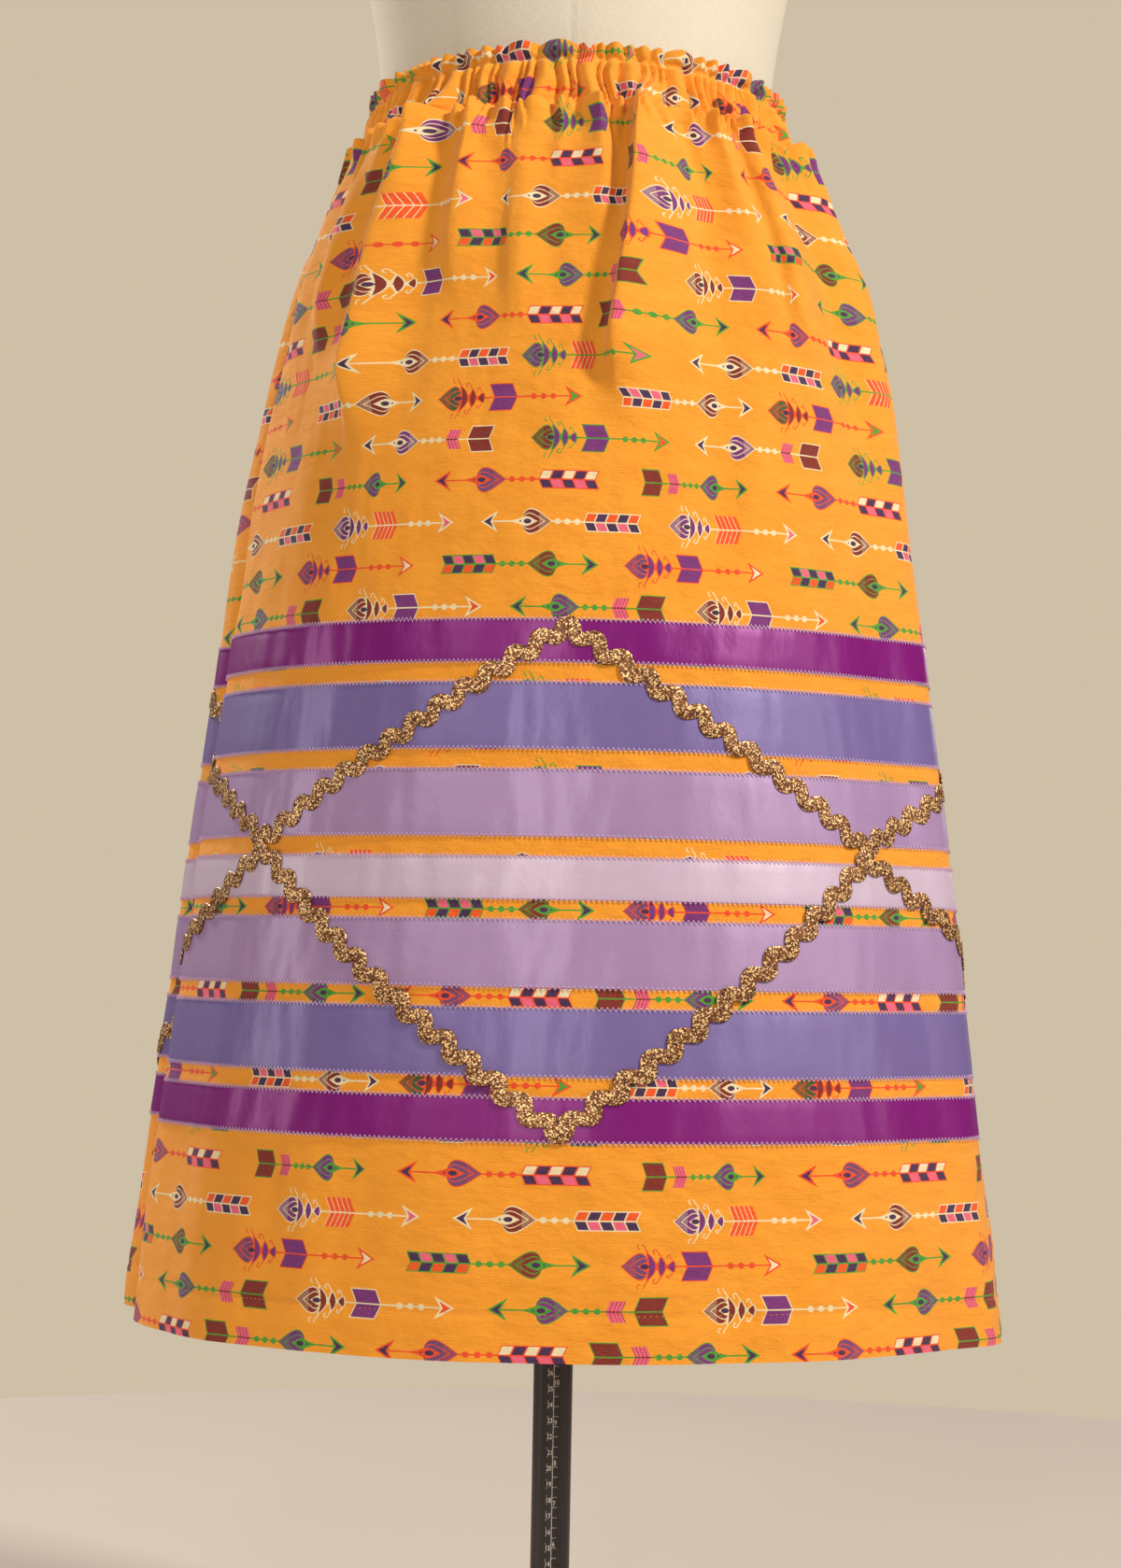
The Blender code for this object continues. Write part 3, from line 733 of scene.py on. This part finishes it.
def leaf_masks(a, w, plumes):
    """The leaf, pointed towards the tail, and the neck that tapers into the shaft. Gives what the
    outline's colour fills, the leaf's fill, the outline's lines on it, and the dark spots."""
    at = a - 57.5 + plumes * 57.5
    length = LEAF_LENGTH - plumes * 4.0

    def half_at(begin, share, half):
        t = ((at - begin) / (length * share)).clamped()
        return t.power(1.3) * (1.0 - t).root() * (half * 2.9)

    inside = half_at(0.0, 1.0, LEAF_HALF) - w
    leaf = inside > 0.0
    middle_line = (abs(half_at(5.2, 0.72, 5.0) - w) < 0.30) * at.between(5.2, 19.0)
    core = half_at(9.8, 0.54, 3.1) - w > 0.0
    streaks = (((at + w * 1.6) * 1.15).wrap(1.7) < 0.36) * (inside > 1.1) * (at < 9.0)
    taper = ((at - NECK_START) / NECK_LENGTH).clamped()
    neck = (w < (1.0 - taper).power(2.4) * 3.3) * (at > NECK_START) * (1.0 - plumes)
    neck_dot = (far_from(at, w, 21.2, 0.0) < 0.6) * (1.0 - plumes)
    core_dark = far_from(at, w, 16.6 - plumes * 2.6, 0.0, 0.62) < 1.55
    lines = streaks.most(middle_line).most(core) * leaf
    return leaf.most(neck), inside > LEAF_RIM, lines, (core_dark * leaf).most(neck_dot)


def plume_masks(a, w, plumes):
    """Plumes: three crescents behind the leaf, their spine with its dots, and curls. Gives what
    the outline's colour fills, the crescents' fill and the dots."""
    bent = a + w * w * 0.075 - PLUME_START
    order = (bent / PLUME_PITCH).floor()
    local = bent - order * PLUME_PITCH
    reach = PLUME_HALF - order * PLUME_TAPER
    drawn = plumes * order.between(-0.5, 2.5)
    hollow = (w / reach) * (w / reach) * PLUME_HOLLOW
    crescent = drawn * (local > hollow + 1.2) * (local < 4.7) * (w < reach)
    outlined = drawn * (local > hollow + 0.3) * (local < 5.5) * (w < reach + 0.6)
    spine = plumes * (w < (SPINE_END - a) * 0.135) * a.between(SPINE_START - 0.1, SPINE_END)
    from_dot = (a - SPINE_START).wrap(SPINE_PITCH) - 3.0
    dots = (from_dot * from_dot + w * w < 0.4) * plumes * a.between(SPINE_START, 31.3)
    outlined = outlined.most(spine)
    for (tip_a, tip_w), (end_a, end_w), radius in CURLS:
        slope = (end_w - tip_w) / (tip_a - end_a)
        run = (abs(w - tip_w - (tip_a - a) * slope) < 0.62) * a.between(end_a, tip_a)
        ring = abs(far_from(a, w, end_a - radius, end_w) - radius) < 0.34
        ring = ring * ((w > end_w) + (a < end_a - radius)).least(1.0)
        outlined = outlined.most(run.most(ring) * plumes)
    return outlined, crescent, dots


def tail_layers(slanted, side, w, block, facts, inks):
    """The tail's blocks with chevron ends, as layers of mask and colour."""
    (low, high, half), (check, blocks, striped), (outline, tail, second) = block, facts, inks
    inside = slanted.between(low, high) * (w < half)
    edge = (slanted - low).least(high - slanted).least(half - w)
    cell = (slanted - low) / CELL
    from_edge = (cell - cell.floor()) * CELL
    in_cell = check * inside * from_edge.between(0.45, 6.65) * (w > 0.45) * (edge > 0.7)
    odd, first_side = cell.floor().wrap(2.0), side < 0.0
    rib = ((slanted - low).wrap(3.2) < INK_LINE) * striped
    line = inside * ((w < INK_LINE) + (edge < 0.65) * (1.0 - striped)).least(1.0)
    small_low, small_high, small_half = SMALL_BLOCK
    small = blocks * slanted.between(small_low, small_high) * (w < small_half)
    small_rib = ((slanted - small_low).wrap(2.3) < 0.45) + (w < INK_LINE)
    return (
        (inside, tail),
        (inside * check, outline),
        (in_cell, NAVY),
        (in_cell * first_side * (1.0 - odd), tail),
        (in_cell * (1.0 - first_side) * odd, second),
        (inside * (1.0 - check) * rib, CREAM),
        (line * (1.0 - check), outline),
        (small, second),
        (small * small_rib.least(1.0), tail),
    )


def arrow_print(u, v, shift):
    """The cotton's printed arrows, as layers of mask and colour. Every arrow is worked out along
    its own axis: a is from its tail, w away from the axis and h from its tip, in millimetres."""
    tree, count = u.tree, float(len(ROWS))
    u, down = u * (1.0 / PRINT_SCALE), (shift - v) * PRINT_SCALE
    row = (down / ROW_PITCH).floor()
    middle = down - (row + 0.5) * ROW_PITCH
    start, offset, _ = parts_of(tree, look_up((row.wrap(count) + 0.5) / count, [
        (first.start / LONGEST + 0.5, (second.start - first.start) / LONGEST, 0.0)
        for first, second in ROWS
    ]))
    start, offset = (start - 0.5) * LONGEST, offset * LONGEST
    along = (u - start + SLOT_MARGIN).wrap(PRINT_REPEAT) - SLOT_MARGIN
    late = along > (offset - SLOT_MARGIN)
    each = (row.wrap(count) * 2.0 + late + 0.5) / (2.0 * count)

    def ink(which):
        return look_up(each, [one.inks[which] for one in ARROWS]).outputs["Color"]

    def numbers(values, unit):
        table = look_up(each, [tuple(x / unit for x in values(one)) for one in ARROWS])
        return [part * unit for part in parts_of(tree, table)]

    kind, way, striped = numbers(lambda one: (one.kind, one.way, one.striped), 1.0)
    length, whole, _ = numbers(lambda one: (one.length, KIND_LENGTH[one.kind], 0.0), LONGEST)
    block = numbers(lambda one: TAIL_BLOCK[one.kind], BLOCK_UNIT)
    plumes, blocks, check = kind > 0.75, kind.between(0.25, 0.75), kind < 0.25

    forward = (along - late * offset) / length
    a = (way * forward + (1.0 - way) * (1.0 - forward)) * whole
    side = middle * (1.0 - way * 2.0)
    w, h = abs(side), whole - a

    outline = look_up(each, [one.outline for one in ARROWS]).outputs["Color"]
    head_ink, leaf_ink, tail_ink, second_ink = (ink(which) for which in range(4))
    head, head_fill = head_masks(w, h)
    leaf, leaf_fill, leaf_lines, leaf_dark = leaf_masks(a, w, plumes)
    plume, crescent, plume_dots = plume_masks(a, w, plumes)
    gap_line = blocks * (w < SHAFT_HALF) * a.between(20.0, 40.0)
    lines = shaft_masks(a, w, h, plumes).most(head).most(leaf).most(plume).most(gap_line)
    facts, inks = (check, blocks, striped), (outline, tail_ink, second_ink)
    return (
        (lines, outline),
        (head_fill, head_ink),
        (leaf_fill, leaf_ink),
        (leaf_lines, outline),
        (leaf_dark.most(plume_dots), NAVY),
        (crescent, second_ink),
        *tail_layers(a + w * SLANT, side, w, block, facts, inks),
    )


# --- Materials ---
THREAD_PITCH = 0.42


def cotton(name, shift):
    """Printed orange cotton: a plain weave with a little slub, softly creased."""
    made, tree, shader = new_material(name, 0.82, Sheen_Weight=0.12, Sheen_Roughness=0.5)
    shader.inputs["Specular IOR Level"].default_value = 0.25
    u, v = cloth_place(tree)
    cloud = cloth_noise(u, v, 0.6, 1.0, 0.045)
    slub = cloth_noise(u, v, 0.12, 1.6, 0.7, 3.0)
    fine = cloth_noise(u, v, 1.0, 1.0, 1.1)
    creases = cloth_noise(u, v, 0.5, 0.8, 0.09, 5.0)
    colour = mixed(cloud, ORANGE_DEEP, ORANGE_LIGHT)
    colour = mixed(((slub - 0.5) * 1.2 + 0.3).clamped(), colour, ORANGE)
    for mask, ink in arrow_print(u, v, shift):
        colour = mixed(mask, colour, ink)
    painted(shader, (fine - 0.35).clamped() * 0.22, colour, ORANGE_LIGHT)
    threads = (u * (2 * pi / THREAD_PITCH)).sine() * (v * (2 * pi / THREAD_PITCH)).sine()
    bumped(shader, threads * 0.10 + slub * 0.7 + fine * 0.35 + creases * 7.0, 0.7, 0.0007)
    return made


def satin(name, shade):
    """Polyester satin: threads along the ribbon, so its gloss spreads across it."""
    made, tree, shader = new_material(
        name, 0.40, Anisotropic=0.75, Anisotropic_Rotation=0.25, Specular_IOR_Level=0.8
    )
    u, v = cloth_place(tree)
    tint = tuple(0.45 + 0.55 * c / max(shade) for c in shade)
    shader.inputs["Specular Tint"].default_value = (*tint, 1.0)
    tangent = tree.nodes.new("ShaderNodeTangent")
    tangent.direction_type, tangent.uv_map = "UV_MAP", "Cloth"
    tree.links.new(tangent.outputs[0], shader.inputs["Tangent"])
    thread, cloud = cloth_noise(u, v, 0.05, 3.2), cloth_noise(u, v, 0.02, 0.02)
    ripple, crinkle = cloth_noise(u, v, 0.05, 0.05), cloth_noise(u, v, 0.5, 0.4, 0.35, 3.0)
    dark, light = tuple(c * 0.82 for c in shade), tuple(min(c * 1.16, 1.0) for c in shade)
    painted(shader, (thread * 0.7 + cloud * 0.3).clamped(), dark, light)
    bumped(shader, thread * 0.05 + ripple * 0.6 + crinkle * 0.5, 0.5, 0.0006)
    return made


def thread_finish(name, colour):
    made, tree, shader = new_material(name, 0.55, Sheen_Weight=0.2)
    twist = noise_term(object_place(tree), 900.0, 1.0)
    painted(shader, twist, tuple(c * 0.7 for c in colour), colour)
    return made


def glitter_tape():
    """Metallic thread: copper gold with small dark flecks, and small pale flecks that are painted
    glints.
    """
    made, tree, shader = new_material("glitter_tape", 0.45, Metallic=0.5)
    cells = tree.nodes.new("ShaderNodeTexVoronoi")
    cells.inputs["Scale"].default_value = 1300.0
    feed(tree, object_place(tree), cells.inputs["Vector"])
    chance, other, _ = parts_of(tree, cells)
    base = mixed(other, srgb(100, 56, 32), srgb(156, 98, 54))
    # the pale flecks put into the colour here are painted glints of the metal thread
    with_painted_glints = mixed(chance > 0.76, base, srgb(255, 214, 150))
    painted(shader, chance < 0.20, with_painted_glints, srgb(62, 32, 20))
    bumped(shader, chance + other * 0.5, 0.5, 0.0003)
    return made


def linen():
    made, tree, shader = new_material("linen_cover", 0.9, Sheen_Weight=0.1)
    u, v = cloth_place(tree)
    weave = (cloth_noise(u, v, 0.15, 1.8) + cloth_noise(u, v, 1.8, 0.15)) * 0.5
    painted(shader, weave, srgb(196, 184, 160), srgb(226, 216, 196))
    bumped(shader, weave, 0.6, 0.0006)
    return made


def black_paint(name, roughness):
    made, tree, shader = new_material(name, roughness)
    place = object_place(tree)
    grain, cloud = noise_term(place, 420.0, 2.0), noise_term(place, 14.0, 3.0)
    mask = (cloud * 0.6 + grain * 0.4).clamped()
    painted(shader, mask, srgb(34, 28, 27), srgb(60, 50, 48))
    bumped(shader, grain, 0.25, 0.0003)
    return made


def cap_wood():
    made, tree, shader = new_material("turned_wood", 0.42, Coat_Weight=0.3, Coat_Roughness=0.25)
    stretch = tree.nodes.new("ShaderNodeMapping")
    stretch.inputs["Scale"].default_value = (30.0, 4.0, 30.0)
    feed(tree, object_place(tree), stretch.inputs["Vector"])
    grain = noise_term(Term(tree, stretch.outputs[0]), 3.0, 5.0)
    painted(shader, ((grain - 0.35) * 3.0).clamped(), srgb(92, 56, 34), srgb(150, 100, 62))
    bumped(shader, grain, 0.2, 0.0004)
    return made


def white_ink():
    made, tree, shader = new_material("ruler_ink", 0.6)
    worn = noise_term(object_place(tree), 700.0, 2.0)
    painted(shader, (worn * 1.4 - 0.1).clamped(), srgb(196, 186, 178), srgb(244, 236, 228))
    return made


# --- Ribbons, stitches and tapes ---
def tube_along(points, radius, sides, closed):
    """The points of a thin tube along a line of points."""
    ahead = np.roll(points, -1, axis=0) - np.roll(points, 1, axis=0)
    if not closed:
        ahead[0], ahead[-1] = points[1] - points[0], points[-1] - points[-2]
    ahead /= np.linalg.norm(ahead, axis=1, keepdims=True)
    across = np.cross(ahead, (0.0, 0.0, 1.0))
    across /= np.maximum(np.linalg.norm(across, axis=1, keepdims=True), 1e-6)
    upward = np.cross(across, ahead)
    turns = 2 * pi * (np.arange(sides) + 0.5) / sides
    ring = across[:, None] * np.cos(turns)[:, None] + upward[:, None] * np.sin(turns)[:, None]
    return (points[:, None] + ring * radius).reshape(-1, 3)


def tube_faces(count, sides, closed, start):
    faces = []
    for i in range(count if closed else count - 1):
        a, b = start + i * sides, start + ((i + 1) % count) * sides
        for k in range(sides):
            m = (k + 1) % sides
            faces.append((a + k, b + k, b + m, a + m))
    return faces


def tubes(lines, radius, sides, closed):
    """Thin tubes along lines of points, as one array of points and one list of faces."""
    points, faces, start = [], [], 0
    for line in lines:
        points.append(tube_along(line, radius, sides, closed))
        faces += tube_faces(len(line), sides, closed, start)
        start += len(line) * sides
    return np.concatenate(points), faces


def ribbon_places():
    """Each ribbon's name, lower edge, upper edge, colour and finish, from the lowest up."""
    low = RIBBON_LOW
    for name, width, shade, finish in RIBBONS:
        yield name, low, low + width, shade, finish
        low += width + RIBBON_GAP


def add_ribbons():
    finishes = {}
    for name, low, high, shade, slot in ribbon_places():
        if slot not in finishes:
            finishes[slot] = satin(slot, srgb(*shade))
        made = ribbon_band(name + "_band", low, high, finishes[slot])
        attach(made, "form")
        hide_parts(name)


def zigzag_stitches(finish):
    """The zigzag seam along both edges of every ribbon, each one closed line round the skirt."""
    count = 2 * int(HEM_GIRTH / ZIGZAG_PITCH)
    steps = np.arange(count)
    sway = ZIGZAG_HALF * np.where(steps % 2, 1.0, -1.0)
    off = RIBBON_OFF + RIBBON_THICK + ZIGZAG_RADIUS * 0.4
    edges = [edge for _, low, high, _, _ in ribbon_places() for edge in (low, high)]
    lines = [surface(steps * 360.0 / count, edge + sway, off) for edge in edges]
    made = mesh_object("zigzag_stitches", *tubes(lines, ZIGZAG_RADIUS, 3, True), finish)
    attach(made, "form")
    return made


def run_stitches(name, seams, finish):
    """Short straight stitches along seams round the skirt: (height, stitch pitch)."""
    lines = []
    for z, pitch in seams:
        ends = place_on(np.linspace(0, 360, 721), np.full(721, z), np.zeros(721))
        count = int(np.linalg.norm(np.diff(ends, axis=0), axis=1).sum() / pitch)
        for i in range(count):
            lines.append(surface((i + RUN_PLACES) * 360.0 / count, z, RUN_ARCH))
    made = mesh_object(name, *tubes(lines, RUN_RADIUS, 4, False), finish)
    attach(made, "form")
    return made


def heading(x, y, turn):
    """The direction along a closed line whose x grows by turn each time round, as unit steps."""
    dx, dy = (np.roll(line, -1) - np.roll(line, 1) for line in (x, y))
    dx[[0, -1]] += turn
    size = np.hypot(dx, dy)
    return dx / size, dy / size


def rickrack(name, at_points, at_meets, off, finish):
    """A wavy tape laid along its zigzag line on the cloth."""
    angles = np.linspace(-180.0, 180.0, 2881)
    heights = [at_points if i % 2 else at_meets for i in range(len(TAPE_TURNS))]
    flat_x = (angles - angles[0]) * TAPE_GIRTH / 360.0
    flat_y = np.interp(angles, TAPE_TURNS, heights)
    lengths = np.hypot(np.diff(flat_x), np.diff(flat_y))
    along = np.concatenate(([0.0], np.cumsum(lengths)))
    waves = round(along[-1] / TAPE_WAVE)
    steps = waves * WAVE_STEPS
    # each corner of the zigzag is rounded by averaging over 0.7 of a wave
    spread = np.linspace(-0.35, 0.35, 9) * TAPE_WAVE
    at = (np.arange(steps) * along[-1] / steps)[:, None] + spread
    samples = at % along[-1]
    past_end = (at - samples) * flat_x[-1] / along[-1]
    x = (np.interp(samples, along, flat_x) + past_end).mean(1)
    y = np.interp(samples, along, flat_y).mean(1)
    dx, dy = heading(x, y, flat_x[-1])
    swing = TAPE_SWING * np.sin(2 * pi * waves * np.arange(steps) / steps + pi / 2)
    x, y = x - dy * swing, y + dx * swing
    dx, dy = heading(x, y, flat_x[-1])
    rings = []
    for across, high in TAPE_SECTION:
        turned = (x - dy * across * TAPE_BREADTH) * 360.0 / TAPE_GIRTH + angles[0]
        height = y + dx * across * TAPE_BREADTH
        rings.append(surface(turned, height, off + TAPE_THICK * high))
    faces = [f[::-1] for f in tube_faces(steps, len(TAPE_SECTION), True, 0)]
    made = mesh_object(name + "_tape", np.stack(rings, 1), faces, finish, None, 75.0)
    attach(made, "form")
    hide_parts(name)
    return made


# --- The dress form and its stand ---
SEAM_ANGLES = (0.0, 38.0, 90.0, 142.0, 180.0, 218.0, 270.0, 322.0)
COVER_OUT, COVER_SEAM, COVER_SEAM_HALF = 0.0004, 0.0007, 1.1
# The cover turns in under the torso to a hole round the sleeve, and closes under the neck cap.
COVER_HOLE, COVER_FLOOR, COVER_TOP = 0.0152, 0.8004, 0.02
COVER_ROWS, COVER_COLUMNS = 130, 192


def spline_rings(values, samples):
    """Uniform cubic B-spline values along rows of controls, ends held."""
    ends = [2 * values[0] - values[1]], [2 * values[-1] - values[-2]]
    controls = np.concatenate((ends[0], values, ends[1]))
    place = np.linspace(0.0, len(values) - 1.0, samples)
    index = np.minimum(place.astype(int), len(values) - 2)
    t = (place - index)[:, None]
    p0, p1, p2, p3 = (controls[index + k] for k in range(4))
    return ((1 - t) ** 3 * p0 + (3 * t**3 - 6 * t**2 + 4) * p1
            + (-3 * t**3 + 3 * t**2 + 3 * t + 1) * p2 + t**3 * p3) / 6.0


def form_cover(finish):
    """The linen cover of the torso: one smooth skin with its panel seams drawn in."""
    rings = spline_rings(np.array(FORM_RINGS) / 1000.0, COVER_ROWS)
    angle = np.arange(COVER_COLUMNS) * 360.0 / COVER_COLUMNS
    s, c = np.sin(np.radians(angle)), np.cos(np.radians(angle))
    z, half, front, back = (rings[:, i, None] for i in range(4))
    deep = np.where(c > 0, front, back)
    skin = COVER_OUT - COVER_SEAM * sum(
        np.exp(-((away_from(angle, middle) / COVER_SEAM_HALF) ** 2)) for middle in SEAM_ANGLES)
    grid = np.stack([(half + skin) * s, -(deep + skin) * c, z + 0 * s], -1)

    def round_ring(radius, height):
        return np.stack([radius * s, -radius * c, np.full_like(s, height)], -1)[None]

    turned_in = grid[:1] * (0.985, 0.985, 1.0)
    grid = np.concatenate([round_ring(COVER_HOLE, COVER_FLOOR), turned_in, grid,
                           round_ring(COVER_TOP, FORM_RINGS[-1][0] / 1000.0)])
    u = np.broadcast_to(angle / 360.0 * 0.9, grid.shape[:2])
    uv = np.stack([u, grid[..., 2]], -1).reshape(-1, 2)
    made = mesh_object("form_cover", grid, grid_faces(len(grid), COVER_COLUMNS, True), finish, uv)
    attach(made, "form")
    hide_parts("form_body")
    return made


POLE_RADIUS, INK_OFF, INCH, HALF_CM = 0.0125, 0.00006, 0.0254, 0.005
RULER_LOW, RULER_HIGH, RULER_PARTS, RULER_LINE = 0.055, 0.740, 60, POLE_RADIUS * radians(3.0)
LINE_HALF, CM_TICK, INCH_TICK, TICK_HEIGHT = 0.0002, 0.0040, 0.0030, 0.0004
DIGIT_HEIGHT, DIGIT_GAP, DIGIT_NARROWING = 0.0033, 0.0006, 0.8
CM_RISE, INCH_RISE = 0.0008, 0.0009


def on_pole(x, z):
    """A point on the pole's front, x metres round it from the centre front."""
    radius, turn = POLE_RADIUS + INK_OFF, x / POLE_RADIUS
    return (radius * sin(turn), -radius * cos(turn), z)


def ruler_marks():
    """Patches (x0, x1, z0, z1) of the printed ruler: a line, half-centimetre and inch ticks."""
    part = (RULER_HIGH - RULER_LOW) / RULER_PARTS
    for i in range(RULER_PARTS):
        z = RULER_LOW + (RULER_HIGH - RULER_LOW) * i / RULER_PARTS
        yield RULER_LINE - LINE_HALF, RULER_LINE + LINE_HALF, z, z + part
    for i in range(int((RULER_HIGH - RULER_LOW) / HALF_CM)):
        z = RULER_LOW + i * HALF_CM
        yield RULER_LINE - CM_TICK, RULER_LINE, z - TICK_HEIGHT / 2, z + TICK_HEIGHT / 2
    quarter = INCH / 4
    for i in range(int(RULER_LOW / quarter) + 1, int(RULER_HIGH / quarter)):
        z = i * quarter
        yield RULER_LINE, RULER_LINE + INCH_TICK, z - TICK_HEIGHT / 2, z + TICK_HEIGHT / 2


def figures(words):
    """A number as flat vertices and faces, its lower left corner at 0, 0."""
    curve = bpy.data.curves.new("figures", "FONT")
    curve.body, curve.size, curve.resolution_u = words, DIGIT_HEIGHT / 0.73, 2
    curve.offset = DIGIT_HEIGHT * 0.02
    made = bpy.data.objects.new("figures", curve)
    mesh = made.to_mesh()
    points = np.array([v.co[:2] for v in mesh.vertices])
    faces = [tuple(p.vertices) for p in mesh.polygons]
    bpy.data.objects.remove(made)
    bpy.data.curves.remove(curve)
    return (points - points.min(0)) * (DIGIT_NARROWING, 1.0), faces


def pole_ruler(finish):
    """The white ruler printed on the pole: flat marks that follow its round face."""
    points, faces = [], []

    def add(shape, shape_faces):
        start = len(points)
        points.extend(on_pole(x, z) for x, z in shape)
        faces.extend(tuple(start + i for i in face) for face in shape_faces)

    for x0, x1, z0, z1 in ruler_marks():
        add(((x0, z0), (x1, z0), (x1, z1), (x0, z1)), ((0, 1, 2, 3),))
    for centimetre in range(6, 74):
        shape, shape_faces = figures(str(centimetre))
        left = RULER_LINE - DIGIT_GAP - shape[:, 0].max()
        add(shape + (left, centimetre / 100 + CM_RISE), shape_faces)
    for inch in range(3, 29):
        shape, shape_faces = figures(str(inch))
        add(shape + (RULER_LINE + DIGIT_GAP, inch * INCH + INCH_RISE), shape_faces)
    made = mesh_object("pole_ruler", points, faces, finish)
    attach(made, "stand")
    return made


def repaint(frame, node, finish):
    mesh = frame["nodes"][node].data
    mesh.materials.clear()
    mesh.materials.append(finish)


# --- The studio ---
FLOOR_REACH = 1.6
LIGHT_AIM, LIGHT_COLOUR = Vector((0.0, 0.0, 0.70)), (1.0, 0.96, 0.90)
LIGHTS = (
    # name, place, width, height, watts
    ("upper_key", (2.0, -1.5, 2.7), 0.35, 0.35, 100.0),
    ("front_fill", (-1.5, -2.5, 1.8), 0.8, 0.8, 15.0),
    ("front_strip", (-0.24, -2.5, 1.1), 0.12, 1.2, 15.0),
    ("left_strip", (-2.3, -0.55, 0.9), 0.26, 1.6, 11.0),
    ("right_strip", (2.2, -0.95, 1.0), 0.24, 1.6, 7.0),
    ("back_key", (-1.9, 1.9, 2.6), 0.5, 0.5, 80.0),
    ("back_fill", (1.5, 2.5, 1.6), 0.8, 0.8, 16.0),
)
ROOM_COLOUR, ROOM_GLOW, WALL_COLOUR = (1.0, 0.95, 0.88), 0.11, srgb(206, 191, 167)


def studio():
    """A round pale floor. The room's plain wall colour lies behind it in every direction."""
    turns = [radians(a) for a in range(0, 360, 3)]
    points = [(FLOOR_REACH * sin(a), FLOOR_REACH * cos(a), 0.0) for a in turns]
    finish, tree, shader = new_material("studio_floor", 0.9)
    cloud = noise_term(object_place(tree), 1.3, 2.0)
    painted(shader, cloud, srgb(188, 174, 163), srgb(198, 185, 174))
    made = mesh_object("studio_floor", points, [tuple(reversed(range(len(points))))], finish)


def soft_light(name, place, width, height, power):
    light = bpy.data.lights.new(name, "AREA")
    light.shape = "RECTANGLE"
    light.size, light.size_y, light.energy, light.color = width, height, power, LIGHT_COLOUR
    made = bpy.data.objects.new(name, light)
    made.location = place
    made.rotation_euler = (LIGHT_AIM - Vector(place)).to_track_quat("-Z", "Y").to_euler()
    bpy.context.scene.collection.objects.link(made)


def room():
    """The light from all round, and the wall's colour that the camera sees in its place."""
    world = bpy.data.worlds.new("soft_room")
    world.use_nodes = True
    nodes, links = world.node_tree.nodes, world.node_tree.links
    soft, wall = nodes["Background"], nodes.new("ShaderNodeBackground")
    for background, colour, strength in ((soft, ROOM_COLOUR, ROOM_GLOW), (wall, WALL_COLOUR, 1.0)):
        background.inputs[0].default_value = (*colour, 1.0)
        background.inputs[1].default_value = strength
    seen, both = nodes.new("ShaderNodeLightPath"), nodes.new("ShaderNodeMixShader")
    links.new(seen.outputs["Is Camera Ray"], both.inputs[0])
    links.new(soft.outputs[0], both.inputs[1])
    links.new(wall.outputs[0], both.inputs[2])
    links.new(both.outputs[0], nodes["World Output"].inputs[0])
    bpy.context.scene.world = world
    bpy.context.scene.view_settings.view_transform = "Standard"


def camera():
    """Looks along +Y at the middle of the skirt, tilted up and rolled a little."""
    pitch, roll = radians(CAMERA_PITCH), radians(CAMERA_ROLL)
    ahead = Vector((0.0, cos(pitch), sin(pitch)))
    level, upward = Vector((1.0, 0.0, 0.0)), Vector((0.0, -sin(pitch), cos(pitch)))
    right = level * cos(roll) + upward * sin(roll)
    top = upward * cos(roll) - level * sin(roll)
    turn = Matrix((right, top, -ahead)).transposed().to_4x4()
    lens = bpy.data.cameras.new("camera")
    lens.lens, lens.sensor_width = CAMERA_LENS, CAMERA_SENSOR
    made = bpy.data.objects.new("camera", lens)
    made.matrix_world = Matrix.Translation(CAMERA_PLACE) @ turn
    bpy.context.scene.collection.objects.link(made)
    bpy.context.scene.camera = made


# --- Everything together ---
FRONT_SHIFT, BACK_SHIFT, ROW_SHIFT = 0.096, 0.041, 8.0
TAPE_CLEARANCE, TAPE_CROSSING = 0.0001, 0.0004


def main():
    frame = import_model()

    cotton_cloth = cotton("printed_cotton", ROW_SHIFT)
    front = cotton_panel("skirt_front_panel", -90.0, 90.0, FRONT_SHIFT, cotton_cloth)
    back = cotton_panel("skirt_back_panel", 90.0, 270.0, BACK_SHIFT, cotton_cloth)
    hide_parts("skirt_front")
    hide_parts("skirt_back")

    add_ribbons()
    zigzag_stitches(thread_finish("lavender_thread", srgb(222, 190, 226)))
    glitter = glitter_tape()
    over = RIBBON_OFF + RIBBON_THICK + TAPE_CLEARANCE
    rickrack("rickrack_upper", TAPE_TOP, UPPER_MEET, over, glitter)
    rickrack("rickrack_lower", TAPE_LOW, LOWER_MEET, over + TAPE_CROSSING, glitter)
    orange_thread = thread_finish("orange_thread", srgb(236, 150, 44))
    run_stitches("run_stitches", RUN_SEAMS, orange_thread)

    form_cover(linen())
    repaint(frame, "neck_cap", cap_wood())
    black = black_paint("black_paint", 0.42)
    for node in ("pole", "foot", "sleeve", "thumb_screw"):
        repaint(frame, node, black)
    pole_ruler(white_ink())

    studio()
    for row in LIGHTS:
        soft_light(*row)
    room()
    camera()


main()
